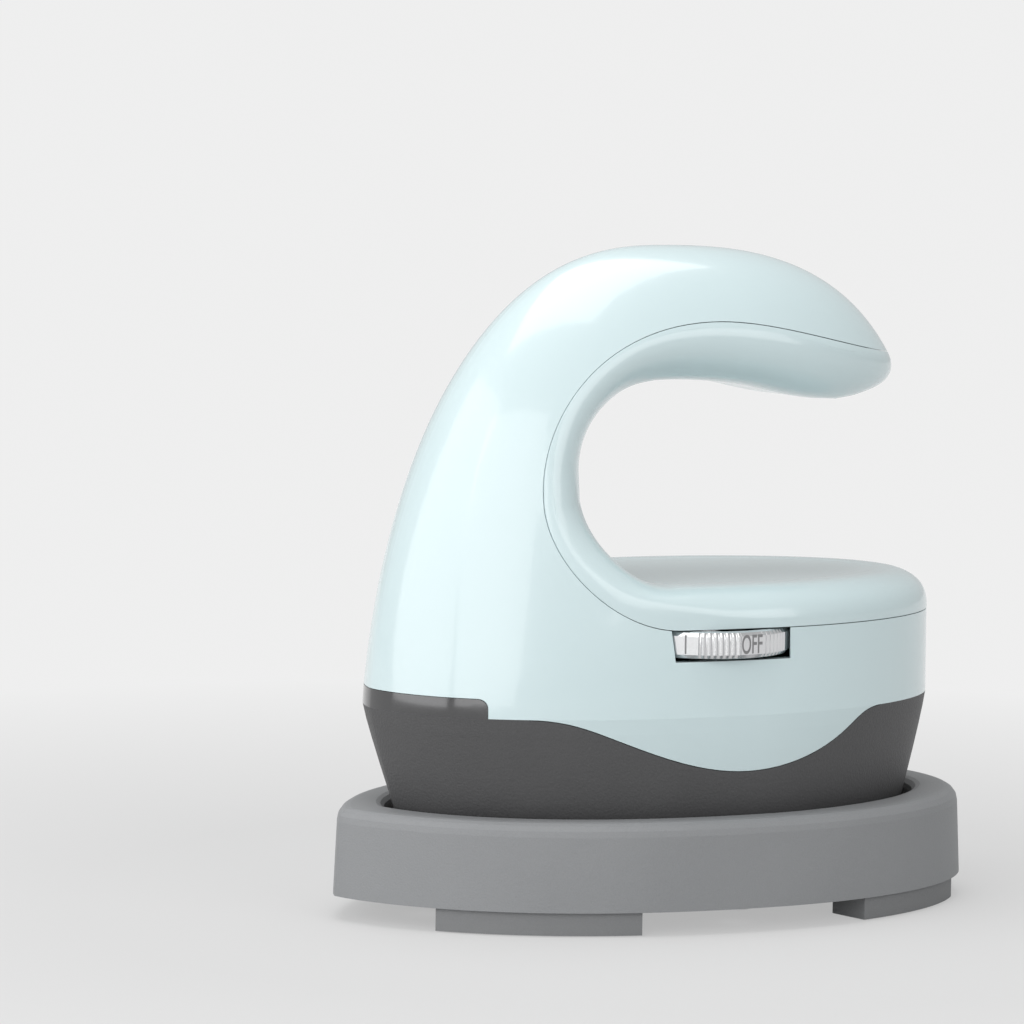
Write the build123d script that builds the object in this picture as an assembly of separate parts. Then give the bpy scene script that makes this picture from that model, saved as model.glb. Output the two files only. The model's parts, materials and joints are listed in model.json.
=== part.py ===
"""Mini handheld heat press on its stand: one STEP file per sub-part.

Frame: millimetres, +Z up, the stand's feet on z = 0, the tip of the heating plate towards -X,
the thumb wheel on the -Y side. The origin is under the middle of the stand.
"""
from build123d import *
from dataclasses import dataclass, replace
from math import atan, cos, degrees, radians, sin
import os

os.makedirs("parts", exist_ok=True)

# ---------------------------------------------------------------- driving dimensions (mm)
# Body, at the joint between heat skirt and outer shell
BODY_LENGTH = 115.0
BODY_WIDTH = 68.5
PARTING_HEIGHT = 39.0
TOP_HEIGHT = 124.1
CREST_X = 1.5               # highest point of the grip
SHELL_WALL = 2.4
JOINT_GAP = 0.15            # between mouldings that meet edge to edge

# Grip: the C-shaped gap for the fingers
DECK_HEIGHT = 62.2          # top of the lower body, under the fingers
DECK_ROLL = 7.2             # rounded edge of the deck
COLUMN_FACE = -21.8         # inner face of the column
CORNER_RADIUS = 14.4        # deck to column
ARCH_RADIUS = 17.9          # column to the underside of the handle
GRIP_UNDERSIDE = 99.1       # highest point of the underside of the handle
NOSE_X = 51.6
SEAM_START_X = -10.0        # seam between inner cover and outer shell, seen from the side
SEAM_FRONT_X = -32.7
SEAM_MIDDLE_HEIGHT = 77.0
SEAM_CREST = (5.0, 110.4)
SEAM_NOSE_HEIGHT = 103.5
NOSE_CENTRE = (46.0, 102.0)
NOSE_RADIUS = 3.5
NOSE_PIVOT_X = 35.0         # middle of the nose's round end, seen from above
DECK_MARGIN = 0.08          # how far the deck's roll starts outside the body's side

# Heating plate
PLATE_LENGTH = 103.8
PLATE_WIDTH = 59.6
PLATE_EDGE = 3.5            # thickness of the exposed edge
PLATE_OFFSET = 0.8          # centre of the plate behind the centre of the body
PLATE_STEP = 3.2            # inset of the upper step of the plate
PLATE_STEP_HEIGHT = 2.5
PLATE_FACE_HEIGHT = 14.2    # working face above the table, on the stand

# Heat skirt
SKIRT_LIFT = 0.6            # dark gap between plate edge and skirt
SKIRT_OVERLAP = 0.5         # how far the skirt stands out past the plate
SKIRT_WALL = 2.2
SKIRT_CURVE = 1.15          # 1 would be a straight taper
WAVE_START = -37.5          # the outer shell dips into the skirt on both sides
WAVE_END = 34.5
WAVE_BOTTOM_X = 3.0
WAVE_BOTTOM_HEIGHT = 28.5
WEB_HEIGHT = 26.0           # underside of the skirt's inner web
WEB_THICKNESS = 2.0
LIP_HEIGHT = 3.0            # locating lip of the skirt inside the outer shell
LIP_WALL = 1.2
FIT_GAP = 0.1

# Thumb wheel and its switch
WHEEL_X = 0.75
WHEEL_RADIUS = 16.7
WHEEL_THICKNESS = 5.0
WHEEL_REACH = 37.1          # how far the rim reaches out from the mid-plane
WHEEL_HUB_RADIUS = 5.0
WHEEL_WEB = 2.2
WHEEL_CLEARANCE = 0.5
SHAFT_RADIUS = 3.0
SLOT_LENGTH = 22.9
SLOT_HEIGHT = 5.8
SWITCH_SIZE = 12.0
SWITCH_HEIGHT = 4.6

# Indicator bar round the tip
LENS_END_X = -43.9
LENS_HEIGHT = 3.5
LENS_CORNER = 1.6

# Cord inlet
CORD_BORE_RADIUS = 3.4
GROMMET_RADIUS = 5.2
GROMMET_FLANGE_RADIUS = 6.4
GROMMET_FLANGE = 0.9
GROMMET_LENGTH = 13.0
INLET_HEIGHT = 47.0

# Inside the press
HEATER_RADIUS = 3.0
HEATER_SPAN = 13.0          # half the distance between the legs of the heater
HEATER_BEND_X = -22.0
HEATER_END_X = 34.0
RIB_WIDTH = 10.0
RIB_HEIGHT = 2.6
BOSS_RADIUS = 3.4
BOSS_HEIGHT = 2.0
SPACER_RADIUS = 3.4
SHIELD_THICKNESS = 0.8
SCREW_RADIUS = 1.5
SCREW_HEAD_RADIUS = 2.8
SCREW_HEAD_HEIGHT = 1.8
POST_RADIUS = 3.4
BOARD_HEIGHT = 43.0
BOARD_THICKNESS = 1.6
BOARD_INSET = 6.5
BOARD_FRONT_X = -37.0
BOARD_REAR_X = 34.0
TAB_HEIGHT = 47.0
TAB_THICKNESS = 3.0

BOSS_POINTS = ((-44.0, 0.0), (8.0, 22.0), (8.0, -22.0), (45.0, 0.0))
BOARD_POSTS = ((-32.0, 12.0), (-32.0, -12.0), (28.0, 20.0), (28.0, -20.0))
SHELL_POSTS = ((-22.0, 24.0), (-22.0, -24.0), (38.0, 18.5), (38.0, -18.5))
CLAMP_X = 38.0
CLAMP_SPREAD = 8.0
CLAMP_HEIGHT = 2.6
HOOK_X = (24.0,)
HOOK_WIDTH = 6.0
HOOK_THICKNESS = 1.6
HOOK_LENGTH = 4.0
HOOK_GAP = 0.3

THERMOSTAT_X = 14.0
THERMOSTAT_RADIUS = 6.5
FUSE_X = -2.0
FUSE_RADIUS = 1.9
SENSOR_X = -14.0
SENSOR_RADIUS = 1.2
HEATER_LIFT = 1.4           # heater axis above the plate's step
HEATER_RISE = 5.0
BOARD_SCREW_RADIUS = 1.1
LED_BOARD_X = -41.0
LED_BOARD_THICKNESS = 1.2
LED_BOARD_WIDTH = 14.0
LED_BOARD_HEIGHT = 40.0
WHEEL_PANELS = 8
PANEL_ANGLE = 17.0
KNURL_STEP = 5.0
KNURL_DEPTH = 0.4
KNURL_WIDTH = 0.7

# Stand
STAND_LENGTH = 128.4
STAND_WIDTH = 80.4
STAND_BOTTOM = 4.3          # underside of the stand's body
RIM_HEIGHT = 20.6
RIM_ROLL = 2.6
STAND_DRAFT = 0.75          # the wall leans in by this much from bottom to rim
STAND_WALL = 2.4
WELL_FLOOR = 8.4            # top of the well's floor
FLOOR_THICKNESS = 2.0
WELL_CLEARANCE = 1.3        # round the skirt
WELL_ROLL = 2.0
BASE_THICKNESS = 1.9
FOOT_INSET = 1.0
FOOT_WIDTH = 8.5
FRONT_FOOT_X = (-52.0, -19.0)
REAR_FOOT_X = (27.0, 55.5)
PAD_RADIUS = 5.0
PAD_POINTS = {"front": (-36.0, 0.0), "rear": (38.0, 0.0), "left": (4.0, -20.0), "right": (4.0, 20.0)}
BASE_SCREWS = ((-46.0, 0.0), (46.0, 0.0), (4.0, 29.0), (4.0, -29.0))


def fall(share, power, root):
    """Curve that starts at 1 and falls to 0 as share goes from 0 to 1, like an ellipse's quarter."""
    return max(0.0, 1 - abs(share) ** power) ** (1 / root)


@dataclass(frozen=True)
class Outline:
    """Pointed oval seen from above: two curves on each side, from the widest place to either end.

    front and back hold the handle lengths of a curve, as shares of its length and of the half width:
    first the handle at the widest place, then the one at the end.
    """

    tip: float
    rear: float
    half_width: float
    widest_share: float = 0.56
    front: tuple = (0.97, 0.05)
    back: tuple = (0.497, 0.588)

    def inset(self, gap):
        """The same outline, smaller by a gap all round."""
        return replace(self, tip=self.tip + gap, rear=self.rear - gap, half_width=self.half_width - gap)

    @property
    def widest_x(self):
        """Where the outline is widest."""
        return self.tip + self.widest_share * (self.rear - self.tip)

    def handles(self, end, side=1):
        """Points of the curve from the widest place to the tip or the rear."""
        near, far = self.front if end == self.tip else self.back
        middle, reach, half = self.widest_x, end - self.widest_x, side * self.half_width
        return [(middle, half), (middle + near * reach, half), (end, far * half), (end, 0)]

    def side(self, x):
        """Half width at x."""
        points = self.handles(self.tip if x < self.widest_x else self.rear)
        low, high = 0.0, 1.0
        for _ in range(30):
            t = (low + high) / 2
            shares = ((1 - t) ** 3, 3 * t * (1 - t) ** 2, 3 * t * t * (1 - t), t ** 3)
            reached = abs(sum(w * p[0] for w, p in zip(shares, points)) - self.widest_x)
            low, high = (t, high) if reached < abs(x - self.widest_x) else (low, t)
        return sum(w * p[1] for w, p in zip(shares, points))

    def face(self, z):
        """Flat face of the outline at height z."""
        curves = [[(x, y, z) for x, y in self.handles(self.tip, -1)]]
        curves.append([(x, y, z) for x, y in reversed(self.handles(self.tip))])
        curves.append([(x, y, z) for x, y in self.handles(self.rear)])
        curves.append([(x, y, z) for x, y in reversed(self.handles(self.rear, -1))])
        return Face(Wire([Bezier(*points) for points in curves]))

    def slab(self, z, thickness):
        """Plate of this outline from z upwards."""
        return extrude(self.face(z), amount=thickness, dir=(0, 0, 1))


PARTING = Outline(-BODY_LENGTH / 2, BODY_LENGTH / 2, BODY_WIDTH / 2)
PLATE = Outline(
    PLATE_OFFSET - PLATE_LENGTH / 2, PLATE_OFFSET + PLATE_LENGTH / 2, PLATE_WIDTH / 2, 0.554, (0.87, 0.03), (0.384, 0.644)
)
STAND = Outline(-STAND_LENGTH / 2, STAND_LENGTH / 2, STAND_WIDTH / 2, 0.565, (0.82, 0.05), (0.515, 0.644))
ROUND = 0.5523              # handle share of a quarter circle
SKIRT_BOTTOM = PLATE_FACE_HEIGHT + PLATE_EDGE + SKIRT_LIFT
PLATE_TOP = PLATE_FACE_HEIGHT + PLATE_EDGE + PLATE_STEP_HEIGHT
WEB_TOP = WEB_HEIGHT + WEB_THICKNESS
BOARD_TOP = BOARD_HEIGHT + BOARD_THICKNESS
WHEEL_Y = WHEEL_RADIUS - WHEEL_REACH
WHEEL_HEIGHT = DECK_HEIGHT - DECK_ROLL - 2 * FIT_GAP - WHEEL_THICKNESS
SLOT_BOTTOM = DECK_HEIGHT - DECK_ROLL - SLOT_HEIGHT


def blend(first, second, share):
    """Outline part of the way from one to another."""
    mix = lambda a, b: a + (b - a) * share
    return Outline(
        mix(first.tip, second.tip), mix(first.rear, second.rear), mix(first.half_width, second.half_width),
        mix(first.widest_share, second.widest_share),
        tuple(mix(a, b) for a, b in zip(first.front, second.front)),
        tuple(mix(a, b) for a, b in zip(first.back, second.back)),
    )


def disc(x, y, z, radius, height):
    """Upright cylinder standing on z."""
    return Pos(x, y, z + height / 2) * Cylinder(radius, height)


def block(x, y, z, length, width, height):
    """Box centred on x and y, standing on z."""
    return Pos(x, y, z + height / 2) * Box(length, width, height)


def side_profile(edges):
    """Closed profile in the XZ plane from edges drawn with (x, z) points."""
    return Plane.XZ * make_face(edges)


# ---------------------------------------------------------------- body envelope
def body_level(share, wall=0.0):
    """Outline of the body at a share of the way from the parting line to the top."""
    top = TOP_HEIGHT - wall
    tip = CREST_X - (CREST_X + BODY_LENGTH / 2 - wall) * fall(share, 1.67, 2.42)
    rear = CREST_X + (BODY_LENGTH / 2 - CREST_X - wall) * fall(share, 4.0, 2.6)
    half = (BODY_WIDTH / 2 - wall) * fall(share, 1.8, 2.05)
    rounding = min(1.0, 1.6 * share)
    front = tuple(start + (ROUND - start) * rounding for start in PARTING.front)
    outline = Outline(tip, rear, half, PARTING.widest_share, front, PARTING.back)
    return outline, PARTING_HEIGHT + (top - PARTING_HEIGHT) * share


def body_dome(wall=0.0):
    """Solid body above the parting line, without the finger gap."""
    climb = (0, 10, 20, 30, 40, 50, 60, 70, 79, 86)
    faces = []
    for angle in climb:
        outline, z = body_level(sin(radians(angle)), wall)
        faces.append(outline.face(z))
    return loft(faces + [Vertex(CREST_X, 0, TOP_HEIGHT - wall)])


def skirt_level(depth, wall=0.0):
    """Outline of the skirt at a depth below the parting line."""
    full = PARTING_HEIGHT - SKIRT_BOTTOM
    return blend(PARTING, PLATE.inset(-SKIRT_OVERLAP), (depth / full) ** SKIRT_CURVE).inset(wall)


def skirt_block(wall=0.0, below=0.0):
    """Solid inside of the skirt's outer surface, or inside its wall."""
    full = PARTING_HEIGHT - SKIRT_BOTTOM
    depths = [share * full for share in (0, 0.14, 0.32, 0.54, 0.77, 1)]
    solid = loft([skirt_level(depth, wall).face(PARTING_HEIGHT - depth) for depth in reversed(depths)], ruled=True)
    if below:
        solid += extrude(skirt_level(full, wall).face(SKIRT_BOTTOM), amount=below, dir=(0, 0, -1))
    return solid


# ---------------------------------------------------------------- grip
@dataclass(frozen=True)
class Rib:
    """Cross-section of the finger gap's wall: where it lies, which way it faces and how it rolls over."""

    x: float
    z: float
    lean: float             # direction into the wall, in degrees from +X towards +Z
    half_width: float       # where the roll meets the side
    roll: float             # depth of the roll
    flat: float             # half width of the flat crown

    def sunk(self, wall):
        """The same rib one wall thickness deeper."""
        return replace(
            self, x=self.x + wall * cos(radians(self.lean)), z=self.z + wall * sin(radians(self.lean)),
            half_width=self.half_width - wall,
        )


def on_arc(centre, radius, lean):
    """Point of an arc in the XZ plane."""
    return centre[0] + radius * cos(radians(lean)), centre[1] + radius * sin(radians(lean))


def grip_ribs():
    """Ribs from the deck up the column and along the underside of the handle."""
    corner = (COLUMN_FACE + CORNER_RADIUS, DECK_HEIGHT + CORNER_RADIUS)
    arch = (COLUMN_FACE + ARCH_RADIUS, GRIP_UNDERSIDE - ARCH_RADIUS)
    half = BODY_WIDTH / 2
    ribs = [
        Rib(x, DECK_HEIGHT - sunk, -90, half - 1.8, DECK_ROLL - sunk, half - 11.5)
        for x, sunk in ((14.0, 1.2), (8.0, 0.8), (2.0, 0.4), (-3.5, 0.1))
    ]
    ribs.append(Rib(*on_arc(corner, CORNER_RADIUS, -98), -98, 32.2, DECK_ROLL + 0.3, 21.8))
    for lean, width, roll, flat in ((-118, 31.8, 8.4, 18.5), (-145, 28.4, 9.8, 15.0), (-170, 23.8, 10.7, 11.0)):
        ribs.append(Rib(*on_arc(corner, CORNER_RADIUS, lean), lean, width, roll, flat))
    for lean, width, roll, flat in ((172, 20.0, 10.6, 9.0), (150, 18.0, 9.8, 8.0), (125, 17.2, 9.0, 7.5), (100, 17.3, 9.8, 7.5)):
        ribs.append(Rib(*on_arc(arch, ARCH_RADIUS, lean), lean, width, roll, flat))
    for x, drop, lean, width, roll, flat in (
        (8.0, 0.2, 92, 18.0, 11.4, 7.5), (16.5, 1.3, 84, 18.4, 11.6, 7.5), (24.0, 2.9, 82, 18.2, 11.2, 7.0),
        (33.0, 4.0, 89, 16.6, 10.6, 6.5), (41.0, 3.2, 94, 13.2, 8.4, 5.0), (47.0, 1.2, 97, 9.4, 5.6, 3.5),
        (NOSE_X - 0.8, -1.6, 100, 5.0, 2.4, 2.0),
    ):
        ribs.append(Rib(x, GRIP_UNDERSIDE - drop, lean, width, roll, flat))
    return ribs


def rib_face(rib, reach=16.0, flare=8.0):
    """Section of the gap's wall at a rib: flat crown, roll on both sides, then flaring outwards."""
    plane = Plane(origin=(rib.x, 0, rib.z), x_dir=(0, 1, 0), z_dir=(sin(radians(rib.lean)), 0, -cos(radians(rib.lean))))
    steepest = radians(78)
    spread = rib.half_width - rib.flat
    end = (rib.flat + spread * sin(steepest), rib.roll * (1 - cos(steepest)))
    handle = (end[0] - ROUND * spread * cos(steepest), end[1] - ROUND * rib.roll * sin(steepest))
    outer = (end[0] + flare, end[1] + reach)
    edges = [Line((-rib.flat, 0), (rib.flat, 0)), Line(outer, (-outer[0], outer[1]))]
    for side in (1, -1):
        points = [(rib.flat, 0), (rib.flat + ROUND * spread, 0), handle, end]
        edges.append(Bezier(*[(side * x, y) for x, y in points]))
        edges.append(Line((side * end[0], end[1]), (side * outer[0], outer[1])))
    return plane * make_face(edges)


def grip_wall(wall=0.0):
    """Solid behind the surface that the fingers touch, from the deck to the nose."""
    return loft([rib_face(rib.sunk(wall)) for rib in grip_ribs()])


def deck_outline(inset, z):
    """Deck outline just outside the body at the seam; it runs out straight past the tip."""
    seam_share = (DECK_HEIGHT - DECK_ROLL - PARTING_HEIGHT) / (TOP_HEIGHT - PARTING_HEIGHT)
    level = body_level(seam_share)[0]
    middle = level.widest_x
    level = replace(level.inset(inset - DECK_MARGIN), tip=level.tip)
    level = replace(level, widest_share=(middle - level.tip) / (level.rear - level.tip))
    curves = [[(x, y, z) for x, y in level.handles(level.rear, side)] for side in (1, -1)]
    far = [(-BODY_LENGTH, side * level.half_width, z) for side in (1, -1)]
    edges = [Bezier(*points) for points in curves]
    edges += [Line(far[0], curves[0][0]), Line(far[1], curves[1][0]), Line(*far)]
    return Face(Wire(edges))


def deck_block(wall=0.0):
    """Lower body under the deck, with its rolled edge, running out past the tip."""
    seam = DECK_HEIGHT - DECK_ROLL
    roll_angles = (0, 25, 50, 72, 90)
    top = loft([
        deck_outline(wall + DECK_ROLL * (1 - cos(radians(a))), seam - wall + DECK_ROLL * sin(radians(a)))
        for a in roll_angles
    ])
    return top + extrude(deck_outline(wall, seam - wall), amount=seam - wall - SKIRT_BOTTOM, dir=(0, 0, -1))


def nose_trim():
    """Everything beyond the rounded end of the handle."""
    x, z = NOSE_CENTRE
    top, middle, low = [
        (x + NOSE_RADIUS * cos(radians(turn)), z + NOSE_RADIUS * sin(radians(turn))) for turn in (30, -12, -54)
    ]
    far = ((BODY_LENGTH / 2, z - 3 * NOSE_RADIUS), (BODY_LENGTH, z), (BODY_LENGTH / 2, z + 3 * NOSE_RADIUS))
    edges = [ThreePointArc(top, middle, low), Line(low, far[0]), Line(far[0], far[1])]
    edges += [Line(far[1], far[2]), Line(far[2], top)]
    half_ring = revolve(side_profile(edges), Axis((NOSE_PIVOT_X, 0, 0), (0, 0, 1)), 180)
    return Pos(NOSE_PIVOT_X, 0, 0) * Rot(0, 0, -90) * Pos(-NOSE_PIVOT_X, 0, 0) * half_ring


def gap_region(grow=0.0):
    """Everything on the gap's side of the seam between inner cover and outer shell."""
    low, high = DECK_HEIGHT - DECK_ROLL - grow, SEAM_CREST[1] + grow
    front, middle, crest = SEAM_FRONT_X - grow, SEAM_MIDDLE_HEIGHT, SEAM_CREST[0]
    start, nose, rear = (SEAM_START_X, low), (NOSE_X - 0.8, SEAM_NOSE_HEIGHT + grow), BODY_LENGTH
    edges = [
        Bezier(start, (start[0] - 12, low), (front, middle - 11), (front, middle)),
        Bezier((front, middle), (front, middle + 15), (crest - 25, high), (crest, high)),
        Bezier((crest, high), (crest + 13, high), (nose[0] - 17, nose[1] + 1.1), nose),
        Line(nose, (rear, nose[1])),
        Line((rear, nose[1]), (rear, low)),
        Line((rear, low), start),
    ]
    return extrude(side_profile(edges), amount=BODY_WIDTH, both=True)


def biggest(shape):
    """The largest solid of a shape, without the slivers that a cut leaves."""
    return max(shape.solids(), key=lambda solid: solid.volume)


# ---------------------------------------------------------------- mouldings of the press
def snap_hook(x, side):
    """Hook that hangs from the inner cover's edge and catches the outer shell from inside."""
    seam = DECK_HEIGHT - DECK_ROLL
    share = (seam - PARTING_HEIGHT) / (TOP_HEIGHT - PARTING_HEIGHT)
    wall = body_level(share)[0].side(x) - SHELL_WALL
    y = side * (wall - HOOK_GAP - HOOK_THICKNESS / 2)
    return block(x, y, seam - HOOK_LENGTH, HOOK_WIDTH, HOOK_THICKNESS, HOOK_LENGTH + SHELL_WALL)


def inner_cover(dome, dome_inside):
    """Inner cover: deck, column face and underside of the handle, as one hollow moulding."""
    region = gap_region()
    skin = (dome & deck_block()) & region
    skin += (dome & grip_wall()) & region
    skin -= dome_inside & deck_block(SHELL_WALL)
    cover = biggest(skin - (dome_inside & grip_wall(SHELL_WALL)) - nose_trim())
    for x in HOOK_X:
        for side in (1, -1):
            cover += snap_hook(x, side)
    return cover


def wave_region(grow=0.0):
    """Everything above the wave line, where the outer shell dips into the skirt."""
    level = PARTING_HEIGHT - grow
    low = (WAVE_BOTTOM_X, WAVE_BOTTOM_HEIGHT - grow)
    drop = level - low[1]
    start, end = (WAVE_START, level), (WAVE_END, level)
    left = (WAVE_START + 0.34 * (WAVE_BOTTOM_X - WAVE_START), level - 0.3 * drop)
    right = (WAVE_END - 0.27 * (WAVE_END - WAVE_BOTTOM_X), level - 0.36 * drop)
    top = PARTING_HEIGHT + BODY_WIDTH
    edges = [Spline(start, left, low, right, end, tangents=[(1, 0), (1, 0)])]
    edges += [Line(end, (WAVE_END, top)), Line((WAVE_END, top), (WAVE_START, top)), Line((WAVE_START, top), start)]
    return extrude(side_profile(edges), amount=BODY_WIDTH, both=True)


def lens_region(grow=0.0):
    """Notch for the indicator bar in the lower front edge of the outer shell."""
    end = LENS_END_X + grow
    top = PARTING_HEIGHT + LENS_HEIGHT + grow
    low = PARTING_HEIGHT - SKIRT_WALL
    front = -BODY_LENGTH
    edges = [
        Line((front, low), (end, low)),
        Line((end, low), (end, top - LENS_CORNER)),
        CenterArc((end - LENS_CORNER, top - LENS_CORNER), LENS_CORNER, 0, 90),
        Line((end - LENS_CORNER, top), (front, top)),
        Line((front, top), (front, low)),
    ]
    return extrude(side_profile(edges), amount=BODY_WIDTH, both=True)


def shell_tabs(dome_inside):
    """Screw tabs that reach in from the outer shell's wall."""
    tabs = []
    for x, y in SHELL_POSTS:
        side = 1 if y > 0 else -1
        tab = block(x, y + side * BODY_WIDTH / 4, TAB_HEIGHT, 2 * POST_RADIUS, BODY_WIDTH / 2, TAB_THICKNESS)
        tab += disc(x, y, TAB_HEIGHT, POST_RADIUS, TAB_THICKNESS)
        tabs.append((tab & dome_inside) - disc(x, y, 0, SCREW_RADIUS, TOP_HEIGHT))
    return tabs


def outer_shell(dome, dome_inside, skirt, skirt_inside):
    """Outer shell: hollow moulding with the wheel slot, the lens notch and the cord hole."""
    wall = biggest(dome - dome_inside - gap_region(JOINT_GAP))
    tongues = (skirt - skirt_inside) & wave_region()
    shell = wall + tongues - lens_region(FIT_GAP)
    for tab in shell_tabs(dome_inside):
        shell += tab
    slot_height = SLOT_HEIGHT + SHELL_WALL
    shell -= block(WHEEL_X, -BODY_WIDTH / 2, SLOT_BOTTOM, SLOT_LENGTH, 4 * SHELL_WALL, slot_height)
    shell -= disc(WHEEL_X, WHEEL_Y, SLOT_BOTTOM, WHEEL_RADIUS + WHEEL_CLEARANCE, slot_height)
    seat = BODY_LENGTH / 2 - GROMMET_FLANGE
    bore = Pos(seat, 0, INLET_HEIGHT) * Rot(0, 90, 0) * Cylinder(GROMMET_RADIUS + FIT_GAP, 6 * SHELL_WALL)
    spot = Pos(seat + SHELL_WALL, 0, INLET_HEIGHT) * Rot(0, 90, 0)
    spot *= Cylinder(GROMMET_FLANGE_RADIUS + FIT_GAP, 2 * SHELL_WALL)
    return biggest(shell - bore - spot - nose_trim())


def indicator_lens(dome, dome_inside):
    """Smoked indicator bar round the tip."""
    ring = (dome - dome_inside) & lens_region()
    return biggest(ring)


def heat_skirt(skirt, skirt_inside):
    """Heat skirt: tapered wall with the wave line, inner web, posts and locating lip."""
    wall = skirt - skirt_inside - wave_region(JOINT_GAP)
    lip_outline = PARTING.inset(SHELL_WALL + FIT_GAP)
    lip = lip_outline.slab(PARTING_HEIGHT, LIP_HEIGHT) - lip_outline.inset(LIP_WALL).slab(PARTING_HEIGHT, LIP_HEIGHT)
    foot = PARTING.inset(SKIRT_WALL - 1).slab(PARTING_HEIGHT - 2, 2) - lip_outline.inset(LIP_WALL).slab(PARTING_HEIGHT - 2, 2)
    lip += foot & skirt
    rear_half = block(BODY_LENGTH / 2 + WAVE_END, 0, 0, BODY_LENGTH, BODY_LENGTH, TOP_HEIGHT)
    wall += lip & rear_half
    depth = PARTING_HEIGHT - WEB_HEIGHT
    web = skirt_level(depth, SKIRT_WALL / 2).slab(WEB_HEIGHT, WEB_THICKNESS)
    solid = wall + web
    for x, y in BOARD_POSTS:
        solid += disc(x, y, WEB_HEIGHT, POST_RADIUS, BOARD_HEIGHT - WEB_HEIGHT)
    for x, y in SHELL_POSTS:
        solid += disc(x, y, WEB_HEIGHT, POST_RADIUS, TAB_HEIGHT - WEB_HEIGHT)
    cradle_top = INLET_HEIGHT - CORD_BORE_RADIUS
    solid += block(CLAMP_X, 0, WEB_HEIGHT, 2 * POST_RADIUS - 2, 2 * CLAMP_SPREAD, cradle_top - WEB_HEIGHT)
    for side in (1, -1):
        height = INLET_HEIGHT + CORD_BORE_RADIUS - WEB_HEIGHT
        solid += disc(CLAMP_X, side * CLAMP_SPREAD, WEB_HEIGHT, POST_RADIUS - 0.8, height)
    solid += block(LED_BOARD_X + 1.0, 0, WEB_HEIGHT, 2.0, LED_BOARD_WIDTH - 4, LED_BOARD_HEIGHT - WEB_HEIGHT)
    for x, y in BOSS_POINTS:
        solid -= disc(x, y, 0, SCREW_RADIUS, PARTING_HEIGHT)
    for side in (1, -1):
        solid -= disc(HEATER_END_X, side * HEATER_SPAN, 0, HEATER_RADIUS + 1, PARTING_HEIGHT)
    solid -= disc(THERMOSTAT_X, 0, 0, THERMOSTAT_RADIUS + 1, PARTING_HEIGHT)
    for x, y in BOARD_POSTS:
        solid -= disc(x, y, WEB_TOP, BOARD_SCREW_RADIUS, BOARD_HEIGHT)
    for x, y in SHELL_POSTS:
        solid -= disc(x, y, WEB_TOP, SCREW_RADIUS, BOARD_HEIGHT)
    return solid


# ---------------------------------------------------------------- heating plate and what sits on it
def heater_tube(radius, end_x):
    """U-shaped run of the tubular heater, up to end_x."""
    z = PLATE_TOP + HEATER_LIFT
    near = (HEATER_BEND_X, -HEATER_SPAN, z), (HEATER_BEND_X, HEATER_SPAN, z)
    path = Wire([
        Line((end_x, -HEATER_SPAN, z), near[0]),
        ThreePointArc(near[0], (HEATER_BEND_X - HEATER_SPAN, 0, z), near[1]),
        Line(near[1], (end_x, HEATER_SPAN, z)),
    ])
    start = Plane(origin=(end_x, -HEATER_SPAN, z), x_dir=(0, 1, 0), z_dir=(-1, 0, 0))
    return sweep(start * Circle(radius), path)


def heating_element():
    """Tubular heater with a terminal pin at each end."""
    z = PLATE_TOP + HEATER_LIFT
    tube = heater_tube(HEATER_RADIUS, HEATER_END_X)
    for side in (1, -1):
        tube += Pos(HEATER_END_X, side * HEATER_SPAN, z) * Sphere(HEATER_RADIUS)
        tube += disc(HEATER_END_X, side * HEATER_SPAN, z, HEATER_RADIUS - 0.2, HEATER_RISE + HEATER_RADIUS)
        tube += disc(HEATER_END_X, side * HEATER_SPAN, z, 1.0, HEATER_RISE + HEATER_RADIUS + 4)
    return tube


def heating_plate():
    """Cast plate: pointed face, upper step, heater rib and bosses."""
    plate = PLATE.slab(PLATE_FACE_HEIGHT, PLATE_EDGE)
    plate += PLATE.inset(PLATE_STEP).slab(PLATE_FACE_HEIGHT + PLATE_EDGE, PLATE_STEP_HEIGHT)
    length = HEATER_END_X - HEATER_BEND_X
    outer, inner = HEATER_SPAN + RIB_WIDTH / 2, HEATER_SPAN - RIB_WIDTH / 2
    rib = disc(HEATER_BEND_X, 0, PLATE_TOP, outer, RIB_HEIGHT) - disc(HEATER_BEND_X, 0, PLATE_TOP, inner, RIB_HEIGHT)
    rib -= block(HEATER_BEND_X + outer, 0, PLATE_TOP, 2 * outer, 2 * outer, RIB_HEIGHT)
    for side in (1, -1):
        centre = HEATER_BEND_X + (length + RIB_WIDTH / 2) / 2
        rib += block(centre, side * HEATER_SPAN, PLATE_TOP, length + RIB_WIDTH / 2, RIB_WIDTH, RIB_HEIGHT)
    plate += rib
    for x, y in BOSS_POINTS:
        plate += disc(x, y, PLATE_TOP, BOSS_RADIUS, BOSS_HEIGHT)
    plate -= heater_tube(HEATER_RADIUS + FIT_GAP / 2, HEATER_END_X + RIB_WIDTH)
    for x, y in BOSS_POINTS:
        plate -= disc(x, y, PLATE_TOP - 1.5, SCREW_RADIUS, BOSS_HEIGHT + 1.5)
    return plate


def thermostat():
    """Snap-action safety thermostat with two blades."""
    body = disc(THERMOSTAT_X, 0, PLATE_TOP, THERMOSTAT_RADIUS, 4)
    body += disc(THERMOSTAT_X, 0, PLATE_TOP + 4, THERMOSTAT_RADIUS - 1.5, 4.5)
    for side in (1, -1):
        body += block(THERMOSTAT_X, side * 3, PLATE_TOP + 8.5, 4.8, 0.8, 6)
    return body


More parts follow.
